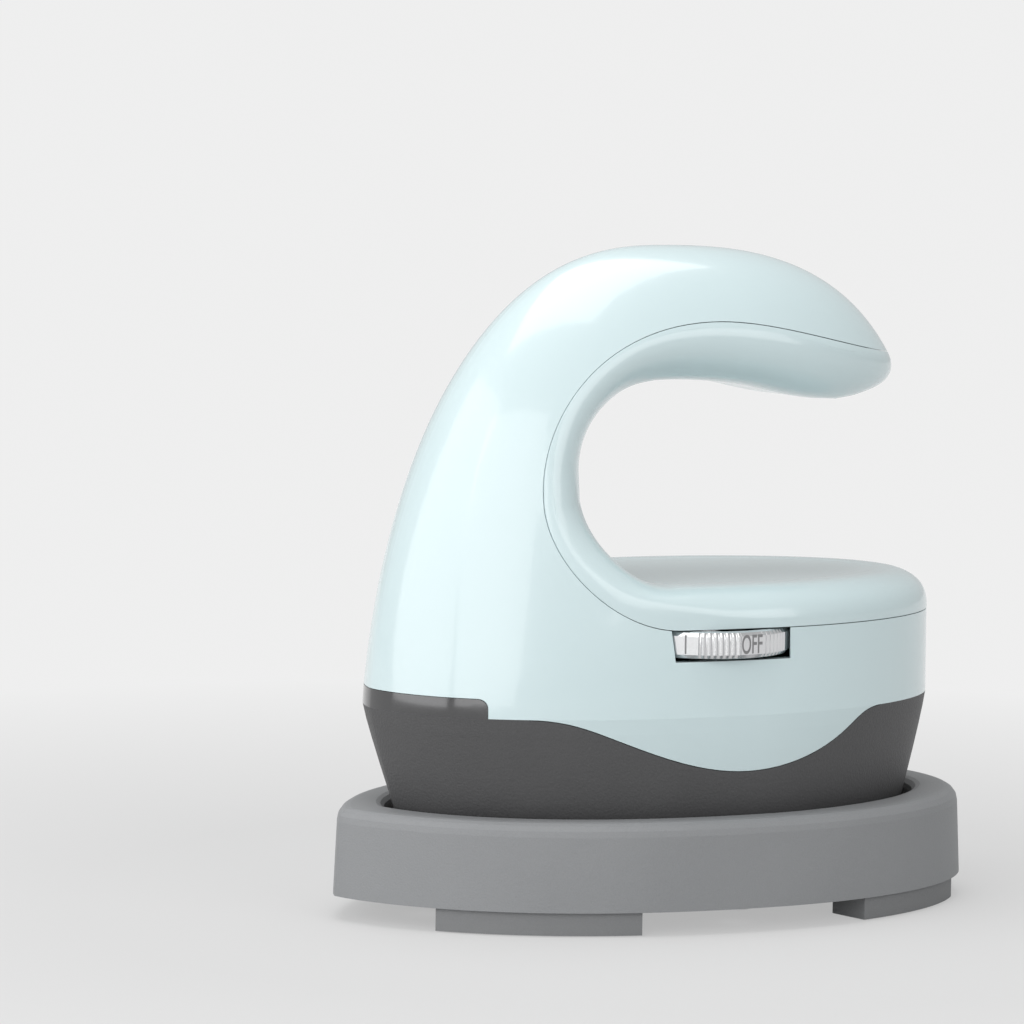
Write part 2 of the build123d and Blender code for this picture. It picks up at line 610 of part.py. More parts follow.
def thermal_fuse():
    """Thermal cut-off lying on the plate."""
    can = Pos(FUSE_X, 0, PLATE_TOP + FUSE_RADIUS) * Rot(90, 0, 0) * Cylinder(FUSE_RADIUS, 9)
    lead = Pos(FUSE_X, 0, PLATE_TOP + FUSE_RADIUS) * Rot(90, 0, 0) * Cylinder(0.5, 13)
    return can + lead


def temperature_sensor():
    """Glass bead thermistor against the plate."""
    return Pos(SENSOR_X, 0, PLATE_TOP + SENSOR_RADIUS) * Rot(0, 90, 0) * Cylinder(SENSOR_RADIUS, 6)


def sensor_clip():
    """Sheet clip that holds the thermistor down."""
    inside = disc(SENSOR_X, 0, PLATE_TOP, 0.1, 0.1)
    top = PLATE_TOP + 2 * SENSOR_RADIUS
    clip = block(SENSOR_X, 0, top, 4, 2 * SENSOR_RADIUS + 1.2, 0.6)
    for side in (1, -1):
        clip += block(SENSOR_X, side * (SENSOR_RADIUS + 0.3), PLATE_TOP, 4, 0.6, 2 * SENSOR_RADIUS)
        clip += block(SENSOR_X, side * (SENSOR_RADIUS + 1.8), PLATE_TOP, 4, 2.6, 0.6)
    return clip


def heat_shield():
    """Mica sheet under the skirt's web."""
    z = WEB_HEIGHT - SHIELD_THICKNESS
    sheet = skirt_level(PARTING_HEIGHT - z, SKIRT_WALL + 0.6).slab(z, SHIELD_THICKNESS)
    for x, y in BOSS_POINTS:
        sheet -= disc(x, y, z, SCREW_RADIUS, SHIELD_THICKNESS)
    for side in (1, -1):
        sheet -= disc(HEATER_END_X, side * HEATER_SPAN, z, HEATER_RADIUS + 1, SHIELD_THICKNESS)
    return sheet - disc(THERMOSTAT_X, 0, z, THERMOSTAT_RADIUS + 1, SHIELD_THICKNESS)


def plate_spacer(x, y):
    """Ceramic spacer between a plate boss and the heat shield."""
    bottom = PLATE_TOP + BOSS_HEIGHT
    height = WEB_HEIGHT - SHIELD_THICKNESS - bottom
    return disc(x, y, bottom, SPACER_RADIUS, height) - disc(x, y, bottom, SCREW_RADIUS + FIT_GAP, height)


def screw(x, y, seat, length, radius=SCREW_RADIUS, head=SCREW_HEAD_RADIUS):
    """Pan-head screw whose head sits on a seat height."""
    return disc(x, y, seat - length, radius - FIT_GAP / 2, length) + disc(x, y, seat, head, SCREW_HEAD_HEIGHT)


# ---------------------------------------------------------------- electronics
def control_board():
    """Main board, cut away round the shell's posts."""
    board = PARTING.inset(BOARD_INSET).slab(BOARD_HEIGHT, BOARD_THICKNESS)
    length = BOARD_REAR_X - BOARD_FRONT_X
    board &= block((BOARD_REAR_X + BOARD_FRONT_X) / 2, 0, BOARD_HEIGHT, length, BODY_WIDTH, BOARD_THICKNESS)
    for x, y in SHELL_POSTS:
        board -= disc(x, y, BOARD_HEIGHT, POST_RADIUS + 1, BOARD_THICKNESS)
    for x, y in BOARD_POSTS:
        board -= disc(x, y, BOARD_HEIGHT, BOARD_SCREW_RADIUS, BOARD_THICKNESS)
    return board


def relay():
    """Power relay for the heater."""
    return block(20, 6, BOARD_TOP, 16, 11, 10)


def power_module():
    """Encapsulated low-voltage supply."""
    return block(-4, 12, BOARD_TOP, 22, 15, 10)


def supply_capacitor():
    """Upright electrolytic capacitor."""
    can = disc(-20, 13, BOARD_TOP, 4, 9)
    return can - disc(-20, 13, BOARD_TOP + 8.6, 2.5, 0.4)


def microcontroller():
    """Controller chip in a flat package."""
    return block(-18, -2, BOARD_TOP, 9, 9, 1.4)


def buzzer():
    """Round buzzer with its sound hole."""
    return disc(-27, 3, BOARD_TOP, 4.5, 4.5) - disc(-27, 3, BOARD_TOP + 3.5, 1, 1)


def tilt_sensor():
    """Ball switch that notices when the press is left standing still."""
    return block(8, -2, BOARD_TOP, 5, 5, 5)


def terminal_block():
    """Screw terminals for the mains cord and the heater leads."""
    body = block(29, -8, BOARD_TOP, 8, 14, 9)
    for y in (-12.5, -8, -3.5):
        body -= disc(29, y, BOARD_TOP + 6, 1.6, 3)
        body -= Pos(32, y, BOARD_TOP + 3) * Box(4, 2.6, 3.4)
    return body


def led_board():
    """Small upright board behind the indicator bar."""
    bottom = LED_BOARD_HEIGHT - 6
    return block(LED_BOARD_X - LED_BOARD_THICKNESS / 2, 0, bottom, LED_BOARD_THICKNESS, LED_BOARD_WIDTH, 9)


def indicator_led(y):
    """One lamp of the indicator."""
    front = LED_BOARD_X - LED_BOARD_THICKNESS
    return Pos(front - 1.25, y, PARTING_HEIGHT + LENS_HEIGHT / 2) * Rot(0, 90, 0) * Cylinder(1.2, 2.5)


def light_guide():
    """Clear strip that spreads the light behind the bar."""
    height = LENS_HEIGHT - 0.8
    outline = PARTING.inset(SHELL_WALL + 0.35)
    ring = outline.slab(PARTING_HEIGHT + 0.2, height) - outline.inset(1.8).slab(PARTING_HEIGHT + 0.2, height)
    return ring & block(LENS_END_X - BODY_LENGTH / 2, 0, 0, BODY_LENGTH, BODY_WIDTH, TOP_HEIGHT)


# ---------------------------------------------------------------- thumb wheel
def thumb_wheel():
    """Rimmed wheel with knurled arcs between smooth panels, one panel for each setting."""
    wheel = disc(WHEEL_X, WHEEL_Y, WHEEL_HEIGHT, WHEEL_RADIUS, WHEEL_THICKNESS)
    hollow = WHEEL_RADIUS - 2.5
    for z in (WHEEL_HEIGHT, WHEEL_HEIGHT + (WHEEL_THICKNESS + WHEEL_WEB) / 2):
        depth = (WHEEL_THICKNESS - WHEEL_WEB) / 2
        wheel -= disc(WHEEL_X, WHEEL_Y, z, hollow, depth) - disc(WHEEL_X, WHEEL_Y, z, WHEEL_HUB_RADIUS, depth)
    for panel in range(WHEEL_PANELS):
        first = 360 / WHEEL_PANELS * panel - 90 + PANEL_ANGLE / 2
        count = int((360 / WHEEL_PANELS - PANEL_ANGLE) / KNURL_STEP)
        for k in range(count + 1):
            angle = radians(first + (360 / WHEEL_PANELS - PANEL_ANGLE) * k / count)
            x, y = WHEEL_X + WHEEL_RADIUS * cos(angle), WHEEL_Y + WHEEL_RADIUS * sin(angle)
            notch = Box(2 * KNURL_DEPTH, KNURL_WIDTH, WHEEL_THICKNESS)
            wheel -= Pos(x, y, WHEEL_HEIGHT + WHEEL_THICKNESS / 2) * Rot(0, 0, degrees(angle)) * notch
    return wheel - disc(WHEEL_X, WHEEL_Y, WHEEL_HEIGHT, SHAFT_RADIUS + FIT_GAP / 2, WHEEL_THICKNESS)


def wheel_shaft():
    """Shaft of the rotary switch, fixed in the wheel's hub."""
    bottom = BOARD_TOP + 1
    return disc(WHEEL_X, WHEEL_Y, bottom, SHAFT_RADIUS, WHEEL_HEIGHT + WHEEL_THICKNESS + 1 - bottom)


def rotary_switch():
    """Body of the rotary switch, with the shaft's bearing."""
    body = block(WHEEL_X, WHEEL_Y, BOARD_TOP, SWITCH_SIZE, SWITCH_SIZE, SWITCH_HEIGHT)
    return body - disc(WHEEL_X, WHEEL_Y, BOARD_TOP + 1, SHAFT_RADIUS + FIT_GAP, SWITCH_HEIGHT)


# ---------------------------------------------------------------- cord inlet
def cord_gland():
    """Rubber grommet in the rear wall, with the bore for the cord."""
    seat = BODY_LENGTH / 2 - GROMMET_FLANGE
    lengths = ((GROMMET_FLANGE_RADIUS, seat, seat + GROMMET_FLANGE), (GROMMET_RADIUS, seat - GROMMET_LENGTH, seat))
    gland = None
    for radius, start, end in lengths:
        ring = Pos((start + end) / 2, 0, INLET_HEIGHT) * Rot(0, 90, 0) * Cylinder(radius, end - start)
        gland = ring if gland is None else gland + ring
    catch = seat - SHELL_WALL - 1.6
    gland += Pos(catch - 0.8, 0, INLET_HEIGHT) * Rot(0, 90, 0) * Cylinder(GROMMET_RADIUS + 0.9, 1.6)
    return gland - Pos(seat, 0, INLET_HEIGHT) * Rot(0, 90, 0) * Cylinder(CORD_BORE_RADIUS, 4 * GROMMET_LENGTH)


def cord_clamp():
    """Bar that holds the cord down on its cradle."""
    z = INLET_HEIGHT + CORD_BORE_RADIUS
    bar = block(CLAMP_X, 0, z, 2 * POST_RADIUS - 2, 2 * CLAMP_SPREAD + 6, CLAMP_HEIGHT)
    for side in (1, -1):
        bar -= disc(CLAMP_X, side * CLAMP_SPREAD, z, BOARD_SCREW_RADIUS + FIT_GAP, CLAMP_HEIGHT)
    return bar


# ---------------------------------------------------------------- stand
def stand_level(z):
    """Outline of the stand's outer wall at a height, with its draft."""
    return STAND.inset(STAND_DRAFT * (z - STAND_BOTTOM) / (RIM_HEIGHT - STAND_BOTTOM))


def well_outline():
    """Inside of the well, round the skirt's lower edge."""
    return skirt_level(PARTING_HEIGHT - RIM_HEIGHT).inset(-WELL_CLEARANCE)


def rolled_levels(outline, shoulder, roll, side, angles=(0, 25, 50, 70, 90)):
    """Heights and outlines of a rounded edge; side is 1 to roll inwards, -1 outwards."""
    turns = [radians(angle) for angle in angles]
    return [(shoulder + roll * sin(turn), outline.inset(side * roll * (1 - cos(turn)))) for turn in turns]


def stacked(levels):
    """Solid through a row of outlines."""
    return loft([outline.face(z) for z, outline in levels], ruled=True)


def stand_shell():
    """Stand: outer wall, rounded rim, well for the press and hollow underneath."""
    shoulder = RIM_HEIGHT - RIM_ROLL
    levels = [(STAND_BOTTOM, stand_level(STAND_BOTTOM))]
    body = stacked(levels + rolled_levels(stand_level(shoulder), shoulder, RIM_ROLL, 1))
    well = well_outline()
    levels = [(WELL_FLOOR, well)] + rolled_levels(well, RIM_HEIGHT - WELL_ROLL, WELL_ROLL, -1, (0, 30, 60, 85))
    levels.append((RIM_HEIGHT + WELL_ROLL, well.inset(-WELL_ROLL - 0.5)))
    body -= stacked(levels)
    inner = STAND.inset(STAND_DRAFT + STAND_WALL)
    under = inner.slab(STAND_BOTTOM, shoulder - STAND_WALL - STAND_BOTTOM)
    under -= well.inset(-STAND_WALL).slab(STAND_BOTTOM, shoulder - STAND_BOTTOM)
    body -= under
    body -= inner.slab(STAND_BOTTOM, WELL_FLOOR - FLOOR_THICKNESS - STAND_BOTTOM)
    for x, y in BASE_SCREWS:
        base_top = STAND_BOTTOM + BASE_THICKNESS
        body += disc(x, y, base_top, POST_RADIUS, WELL_FLOOR - FLOOR_THICKNESS - base_top + 0.5)
        body -= disc(x, y, base_top, SCREW_RADIUS, 1.6)
    return biggest(body)


def stand_base():
    """Base plate that closes the stand from below."""
    plate = STAND.inset(STAND_DRAFT + STAND_WALL + JOINT_GAP).slab(STAND_BOTTOM, BASE_THICKNESS)
    for x, y in BASE_SCREWS:
        plate -= disc(x, y, STAND_BOTTOM, SCREW_RADIUS, BASE_THICKNESS)
    return plate


def stand_foot(first_x, last_x, side):
    """Curved foot that follows the stand's edge, cut square to it at the tip's end."""
    outer = STAND.inset(FOOT_INSET)
    ring = outer.slab(0, STAND_BOTTOM) - outer.inset(FOOT_WIDTH).slab(0, STAND_BOTTOM)
    middle = (outer.tip + last_x) / 2
    ring &= block(middle, side * STAND_WIDTH / 2, 0, last_x - outer.tip, STAND_WIDTH, STAND_BOTTOM)
    turn = degrees(atan(outer.side(first_x + 0.5) - outer.side(first_x - 0.5)))
    corner = Pos(first_x, side * outer.side(first_x), 0) * Rot(0, 0, side * turn)
    return biggest(ring - corner * Pos(-STAND_WIDTH, 0, 0) * Box(2 * STAND_WIDTH, STAND_WIDTH, STAND_WIDTH))


def stand_screw(x, y):
    """Screw from below through the base plate into the stand's floor."""
    length = BASE_THICKNESS + 1.5
    return disc(x, y, STAND_BOTTOM, SCREW_RADIUS - FIT_GAP / 2, length) + disc(
        x, y, STAND_BOTTOM - SCREW_HEAD_HEIGHT, SCREW_HEAD_RADIUS, SCREW_HEAD_HEIGHT
    )


def rest_pad(x, y):
    """Silicone pad on the well's floor that carries the hot plate."""
    return disc(x, y, WELL_FLOOR, PAD_RADIUS, PLATE_FACE_HEIGHT - WELL_FLOOR)


# ---------------------------------------------------------------- assembly
def write(name, *solids):
    """Write one sub-part; solids that share a node stay separate solids."""
    shape = solids[0] if len(solids) == 1 else Compound(children=list(solids))
    export_step(shape, f"parts/{name}.step")


def write_body():
    """Mouldings that make up the outside of the press."""
    dome, dome_inside = body_dome(), body_dome(SHELL_WALL)
    skirt, skirt_inside = skirt_block(), skirt_block(SKIRT_WALL, below=SKIRT_WALL)
    write("outer_shell", outer_shell(dome, dome_inside, skirt, skirt_inside))
    write("inner_cover", inner_cover(dome, dome_inside))
    write("indicator_lens", indicator_lens(dome, dome_inside))
    write("heat_skirt", heat_skirt(skirt, skirt_inside))
    write("cord_gland", cord_gland())
    write("cord_clamp", cord_clamp())
    write("shell_screws", *[screw(x, y, TAB_HEIGHT + TAB_THICKNESS, 12) for x, y in SHELL_POSTS])


def write_heater():
    """Heating plate with everything that is fixed to it."""
    write("heating_plate", heating_plate())
    write("heating_element", heating_element())
    write("thermostat", thermostat())
    write("thermal_fuse", thermal_fuse())
    write("temperature_sensor", temperature_sensor())
    write("sensor_clip", sensor_clip())
    write("heat_shield", heat_shield())
    for number, (x, y) in enumerate(BOSS_POINTS, 1):
        write(f"plate_spacer_{number}", plate_spacer(x, y))
    length = WEB_TOP - PLATE_TOP - 0.5
    write("plate_screws", *[screw(x, y, WEB_TOP, length) for x, y in BOSS_POINTS])


def write_electronics():
    """Board, its components and the indicator lamps."""
    write("control_board", control_board())
    write("board_screws", *[
        screw(x, y, BOARD_TOP, 8, BOARD_SCREW_RADIUS, BOARD_SCREW_RADIUS + 1.2) for x, y in BOARD_POSTS
    ])
    for piece in (relay, power_module, supply_capacitor, microcontroller, buzzer, tilt_sensor, terminal_block):
        write(piece.__name__, piece())
    write("led_board", led_board())
    write("indicator_leds", *[indicator_led(y) for y in (-5, 0, 5)])
    write("light_guide", light_guide())
    write("rotary_switch", rotary_switch())
    write("thumb_wheel", thumb_wheel())
    write("wheel_shaft", wheel_shaft())


def write_stand():
    """Stand with its feet and pads."""
    write("stand_shell", stand_shell())
    write("stand_base", stand_base())
    write("stand_screws", *[stand_screw(x, y) for x, y in BASE_SCREWS])
    for place, span in (("front", FRONT_FOOT_X), ("rear", REAR_FOOT_X)):
        for name, side in (("left", -1), ("right", 1)):
            write(f"stand_foot_{place}_{name}", stand_foot(*span, side))
    for name, (x, y) in PAD_POINTS.items():
        write(f"rest_pad_{name}", rest_pad(x, y))


write_body()
write_heater()
write_electronics()
write_stand()
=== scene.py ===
"""Mini heat press on its stand: finishes, printed dial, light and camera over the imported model."""

import json
import logging
from dataclasses import dataclass, field
from enum import Enum
from math import atan2, cos, hypot, pi, radians, sin, sqrt
from typing import Any, Dict, List, Optional, Tuple, Union

import bmesh
import bpy
from mathutils import Matrix, Vector
from mathutils.bvhtree import BVHTree

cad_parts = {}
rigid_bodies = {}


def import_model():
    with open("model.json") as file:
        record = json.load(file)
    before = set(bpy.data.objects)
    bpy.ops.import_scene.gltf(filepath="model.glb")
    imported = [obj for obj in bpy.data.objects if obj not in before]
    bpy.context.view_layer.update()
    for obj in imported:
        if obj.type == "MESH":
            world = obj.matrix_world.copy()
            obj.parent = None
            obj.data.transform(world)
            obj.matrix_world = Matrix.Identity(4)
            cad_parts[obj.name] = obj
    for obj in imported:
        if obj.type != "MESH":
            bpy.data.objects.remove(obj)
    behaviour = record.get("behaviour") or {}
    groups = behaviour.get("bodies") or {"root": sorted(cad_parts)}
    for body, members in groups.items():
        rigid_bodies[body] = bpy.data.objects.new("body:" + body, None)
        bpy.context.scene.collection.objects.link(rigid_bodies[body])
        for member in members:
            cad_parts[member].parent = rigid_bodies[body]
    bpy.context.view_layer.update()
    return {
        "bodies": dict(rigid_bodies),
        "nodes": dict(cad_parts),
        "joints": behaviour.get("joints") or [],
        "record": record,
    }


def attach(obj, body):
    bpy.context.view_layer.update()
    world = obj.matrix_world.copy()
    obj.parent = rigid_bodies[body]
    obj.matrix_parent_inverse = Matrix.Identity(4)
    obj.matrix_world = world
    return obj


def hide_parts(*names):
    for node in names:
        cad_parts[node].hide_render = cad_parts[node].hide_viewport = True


Colour = Tuple[float, float, float]
Number = Union[int, float, "Value"]
log = logging.getLogger("heat_press")


# ---------------------------------------------------------------- shader building
class Value:
    """One output socket, with arithmetic that adds Math nodes."""

    def __init__(self, graph: "Tree", socket: bpy.types.NodeSocket) -> None:
        """Wrap a socket.

        Args:
            graph: The tree that the socket belongs to.
            socket: The output socket.
        """
        self.graph = graph
        self.socket = socket

    def _math(self, operation: str, first: Number, second: Number = 0.0) -> "Value":
        """Add a Math node.

        Args:
            operation: Blender's name of the operation.
            first: Upper input.
            second: Lower input.

        Returns:
            The node's result.
        """
        return self.graph.node("ShaderNodeMath", {"operation": operation}, {0: first, 1: second})

    def __add__(self, other: Number) -> "Value":
        """Sum."""
        return self._math("ADD", self, other)

    __radd__ = __add__

    def __sub__(self, other: Number) -> "Value":
        """Difference."""
        return self._math("SUBTRACT", self, other)

    def __rsub__(self, other: Number) -> "Value":
        """Reflected difference."""
        return self._math("SUBTRACT", other, self)

    def __mul__(self, other: Number) -> "Value":
        """Product."""
        return self._math("MULTIPLY", self, other)

    __rmul__ = __mul__

    def __truediv__(self, other: Number) -> "Value":
        """Quotient."""
        return self._math("DIVIDE", self, other)

    def __rtruediv__(self, other: Number) -> "Value":
        """Reflected quotient."""
        return self._math("DIVIDE", other, self)

    def over(self, level: Number) -> "Value":
        """1 where the value is above a level, otherwise 0."""
        return self._math("GREATER_THAN", self, level)

    def under(self, level: Number) -> "Value":
        """1 where the value is below a level, otherwise 0."""
        return self._math("LESS_THAN", self, level)

    def most(self, other: Number) -> "Value":
        """The larger of two values."""
        return self._math("MAXIMUM", self, other)

    def clear(self) -> "Value":
        """The value held between 0 and 1."""
        return self._math("MINIMUM", self.most(0.0), 1.0)


class Tree:
    """Shader nodes of a material or of the world."""

    def __init__(self, owner: Union[bpy.types.Material, bpy.types.World], end: str) -> None:
        """Start an empty tree with its output.

        Args:
            owner: What the tree belongs to.
            end: Blender's name of the output node's type.
        """
        owner.use_nodes = True
        self.tree = owner.node_tree
        self.tree.nodes.clear()
        self.output = self.tree.nodes.new(end)

    def node(
        self,
        kind: str,
        settings: Optional[Dict[str, Any]] = None,
        inputs: Optional[Dict[Union[int, str], Any]] = None,
        out: Union[int, str] = 0,
    ) -> Value:
        """Add any node.

        Args:
            kind: Blender's name of the node type.
            settings: Attributes, set first.
            inputs: Values or links of its sockets, by name or number.
            out: The output that is wanted.

        Returns:
            The wanted output.
        """
        made = self.tree.nodes.new(kind)
        for key, setting in (settings or {}).items():
            setattr(made, key, setting)
        for key, value in (inputs or {}).items():
            if isinstance(value, Value):
                self.tree.links.new(value.socket, made.inputs[key])
            else:
                made.inputs[key].default_value = value
        return Value(self, made.outputs[out])

    def close(self, shader: Value) -> None:
        """Link a shader to the output."""
        self.tree.links.new(shader.socket, self.output.inputs["Surface"])


class Graph(Tree):
    """Shader nodes of one material."""

    def __init__(self, name: str) -> None:
        """Start a material.

        Args:
            name: The material's name.
        """
        self.material = bpy.data.materials.new(name)
        super().__init__(self.material, "ShaderNodeOutputMaterial")

    def coords(self) -> Value:
        """Position on the object in metres."""
        return self.node("ShaderNodeTexCoord", out="Object")

    def place(self, scale: Tuple[float, float, float]) -> Value:
        """Position on the object in metres, stretched.

        Args:
            scale: Stretch along X, Y and Z.

        Returns:
            The position.
        """
        inputs = {"Vector": self.coords(), "Scale": scale}
        return self.node("ShaderNodeMapping", {"vector_type": "POINT"}, inputs)

    def noise(self, scale: float, detail: float = 2.0, where: Optional[Value] = None) -> Value:
        """Noise between 0 and 1.

        Args:
            scale: Cells per metre.
            detail: Octaves.
            where: Position; the object's own when left out.

        Returns:
            The noise.
        """
        inputs = {"Vector": where or self.coords(), "Scale": scale, "Detail": detail}
        return self.node("ShaderNodeTexNoise", {}, inputs, "Fac")

    def cells(self, scale: float, out: str = "Distance") -> Value:
        """Cellular texture.

        Args:
            scale: Cells per metre.
            out: Distance or Color.

        Returns:
            The wanted output.
        """
        return self.node("ShaderNodeTexVoronoi", {}, {"Vector": self.coords(), "Scale": scale}, out)

    def blend(self, share: Number, first: Union[Colour, Value], second: Union[Colour, Value]) -> Value:
        """Mix two colours.

        Args:
            share: Share of the second colour.
            first: First colour.
            second: Second colour.

        Returns:
            The mixed colour.
        """
        ends = [colour if isinstance(colour, Value) else (*colour, 1.0) for colour in (first, second)]
        return self.node("ShaderNodeMix", {"data_type": "RGBA"}, {0: share, 6: ends[0], 7: ends[1]}, 2)

    def bump(self, height: Value, depth: float) -> Value:
        """Normal bent by a height.

        Args:
            height: Height from 0 to 1.
            depth: What a height of 1 means, in metres.

        Returns:
            The normal.
        """
        inputs = {"Height": height, "Distance": depth, "Strength": 1.0}
        return self.node("ShaderNodeBump", {}, inputs, "Normal")

    def surface(self, sockets: Dict[str, Any]) -> bpy.types.Material:
        """Close the material with its surface shader.

        Args:
            sockets: Values or links of the shader's sockets.

        Returns:
            The material.
        """
        self.close(self.node("ShaderNodeBsdfPrincipled", {}, sockets))
        return self.material


# ---------------------------------------------------------------- finishes
@dataclass(frozen=True)
class Moulded:
    """Moulded, cast or rolled surface: a colour with slow variation and a fine grain."""

    colour: Colour
    tint: Colour
    mottle: float = 60.0
    roughness: float = 0.5
    spread: float = 0.08
    grain: float = 1800.0
    depth: float = 0.00002
    metallic: float = 0.0
    coat: float = 0.0
    coat_roughness: float = 0.06

    def build(self, name: str) -> bpy.types.Material:
        """Make the material.

        Args:
            name: The material's name.

        Returns:
            The material.
        """
        graph = Graph(name)
        slow = graph.noise(self.mottle, 3.0)
        fine = graph.noise(self.grain, 2.0)
        rough = (slow - 0.5) * self.spread + (fine - 0.5) * self.spread + self.roughness
        return graph.surface({
            "Base Color": graph.blend(slow, self.colour, self.tint),
            "Roughness": rough.clear(),
            "Metallic": self.metallic,
            "Coat Weight": self.coat,
            "Coat Roughness": self.coat_roughness,
            "Normal": graph.bump(fine, self.depth),
        })


@dataclass(frozen=True)
class SparkTexture:
    """Matt plastic from a spark-eroded mould: pebbled grain with small shiny tops."""

    colour: Colour
    tint: Colour
    roughness: float = 0.55
    grain: float = 2600.0
    depth: float = 0.00004
    fine_ratio: float = 1.7
    slow_scale: float = 45.0
    specular: float = 0.42

    def build(self, name: str) -> bpy.types.Material:
        """Make the material.

        Args:
            name: The material's name.

        Returns:
            The material.
        """
        graph = Graph(name)
        pebbles = graph.cells(self.grain)
        fine = graph.noise(self.grain * self.fine_ratio, 2.0)
        slow = graph.noise(self.slow_scale, 3.0)
        height = 1 - pebbles * 0.8 + fine * 0.4
        share = (slow * 0.6 + fine * 0.5 - 0.05).clear()
        return graph.surface({
            "Base Color": graph.blend(share, self.colour, self.tint),
            "Roughness": (self.roughness + (slow - 0.5) * 0.1 + pebbles * 0.08).clear(),
            "Specular IOR Level": self.specular,
            "Normal": graph.bump(height, self.depth),
        })


@dataclass(frozen=True)
class PlateCoating:
    """Ceramic coating of the plate: warm cream with fine dark and light specks."""

    colour: Colour = (0.86, 0.80, 0.74)
    speck: Colour = (0.55, 0.46, 0.40)
    pale: Colour = (0.97, 0.94, 0.90)
    tint: Colour = (0.82, 0.75, 0.69)
    scale: float = 1500.0
    speck_size: float = 0.22
    pale_size: float = 0.2
    roughness: float = 0.34
    depth: float = 0.000015

    def build(self, name: str) -> bpy.types.Material:
        """Make the material.

        Args:
            name: The material's name.

        Returns:
            The material.
        """
        graph = Graph(name)
        dots = graph.cells(self.scale)
        pick = graph.noise(self.scale * 0.6, 1.0)
        dark = dots.under(self.speck_size) * pick.over(0.56)
        light = dots.under(self.pale_size) * pick.under(0.42)
        base = graph.blend(graph.noise(80.0, 3.0), self.colour, self.tint)
        colour = graph.blend(light * 0.8, graph.blend(dark * 0.5, base, self.speck), self.pale)
        rough = graph.noise(self.scale, 2.0)
        return graph.surface({
            "Base Color": colour,
            "Roughness": (self.roughness + (rough - 0.5) * 0.12).clear(),
            "Normal": graph.bump(rough + dots * 0.4, self.depth),
        })


@dataclass(frozen=True)
class SatinChrome:
    """Plated metal with a satin lustre and very fine vertical draw lines."""

    colour: Colour = (0.74, 0.745, 0.75)
    tint: Colour = (0.66, 0.665, 0.68)
    roughness: float = 0.24
    line_scale: float = 9000.0
    line_stretch: float = 0.04
    depth: float = 0.000004

    def build(self, name: str) -> bpy.types.Material:
        """Make the material.

        Args:
            name: The material's name.

        Returns:
            The material.
        """
        graph = Graph(name)
        lines = graph.noise(self.line_scale, 1.0, graph.place((1.0, 1.0, self.line_stretch)))
        slow = graph.noise(300.0, 2.0)
        return graph.surface({
            "Base Color": graph.blend(slow, self.colour, self.tint),
            "Metallic": 1.0,
            "Roughness": (self.roughness + (lines - 0.5) * 0.12 + (slow - 0.5) * 0.06).clear(),
            "Normal": graph.bump(lines, self.depth),
        })


@dataclass(frozen=True)
class CircuitBoard:
    """Solder mask with copper tracks showing through it and small vias."""

    mask: Colour = (0.015, 0.13, 0.05)
    track: Colour = (0.04, 0.26, 0.10)
    pad: Colour = (0.60, 0.58, 0.52)
    track_scale: float = 260.0
    gap: float = 0.06
    via_scale: float = 190.0
    via_size: float = 0.12
    depth: float = 0.00003

    def build(self, name: str) -> bpy.types.Material:
        """Make the material.

        Args:
            name: The material's name.

        Returns:
            The material.
        """
        graph = Graph(name)
        inputs = {
            "Vector": graph.coords(), "Scale": self.track_scale,
            "Mortar Size": self.gap, "Mortar Smooth": 0.1,
        }
        bricks = graph.node("ShaderNodeTexBrick", {"offset": 0.5}, inputs, "Fac")
        via = graph.cells(self.via_scale).under(self.via_size)
        colour = graph.blend(via, graph.blend(bricks, self.mask, self.track), self.pad)
        return graph.surface({
            "Base Color": colour,
            "Roughness": (0.35 + graph.noise(900.0, 2.0) * 0.12).clear(),
            "Metallic": via * 0.8,
            "Normal": graph.bump(bricks + via, self.depth),
        })


@dataclass(frozen=True)
class MicaFlakes:
    """Pressed mica: layered flakes in two tones, the paler tone a painted glint of flakes that catch the
    light at slightly different angles.
    """

    colour: Colour = (0.50, 0.41, 0.27)
    flake_glint: Colour = (0.70, 0.61, 0.44)
    flake_scale: float = 260.0
    depth: float = 0.00004

    def build(self, name: str) -> bpy.types.Material:
        """Make the material.

        Args:
            name: The material's name.

        Returns:
            The material.
        """
        graph = Graph(name)
        shades = graph.cells(self.flake_scale, "Color")
        tone = graph.node("ShaderNodeSeparateColor", {}, {0: shades}, 0)
        return graph.surface({
            # painted glint: paler flakes stand in for flakes that catch the light; the bump only tilts
            # their edges
            "Base Color": graph.blend(tone, self.colour, self.flake_glint),
            "Roughness": (0.28 + tone * 0.25).clear(),
            "Normal": graph.bump(tone + graph.noise(900.0, 3.0) * 0.3, self.depth),
        })


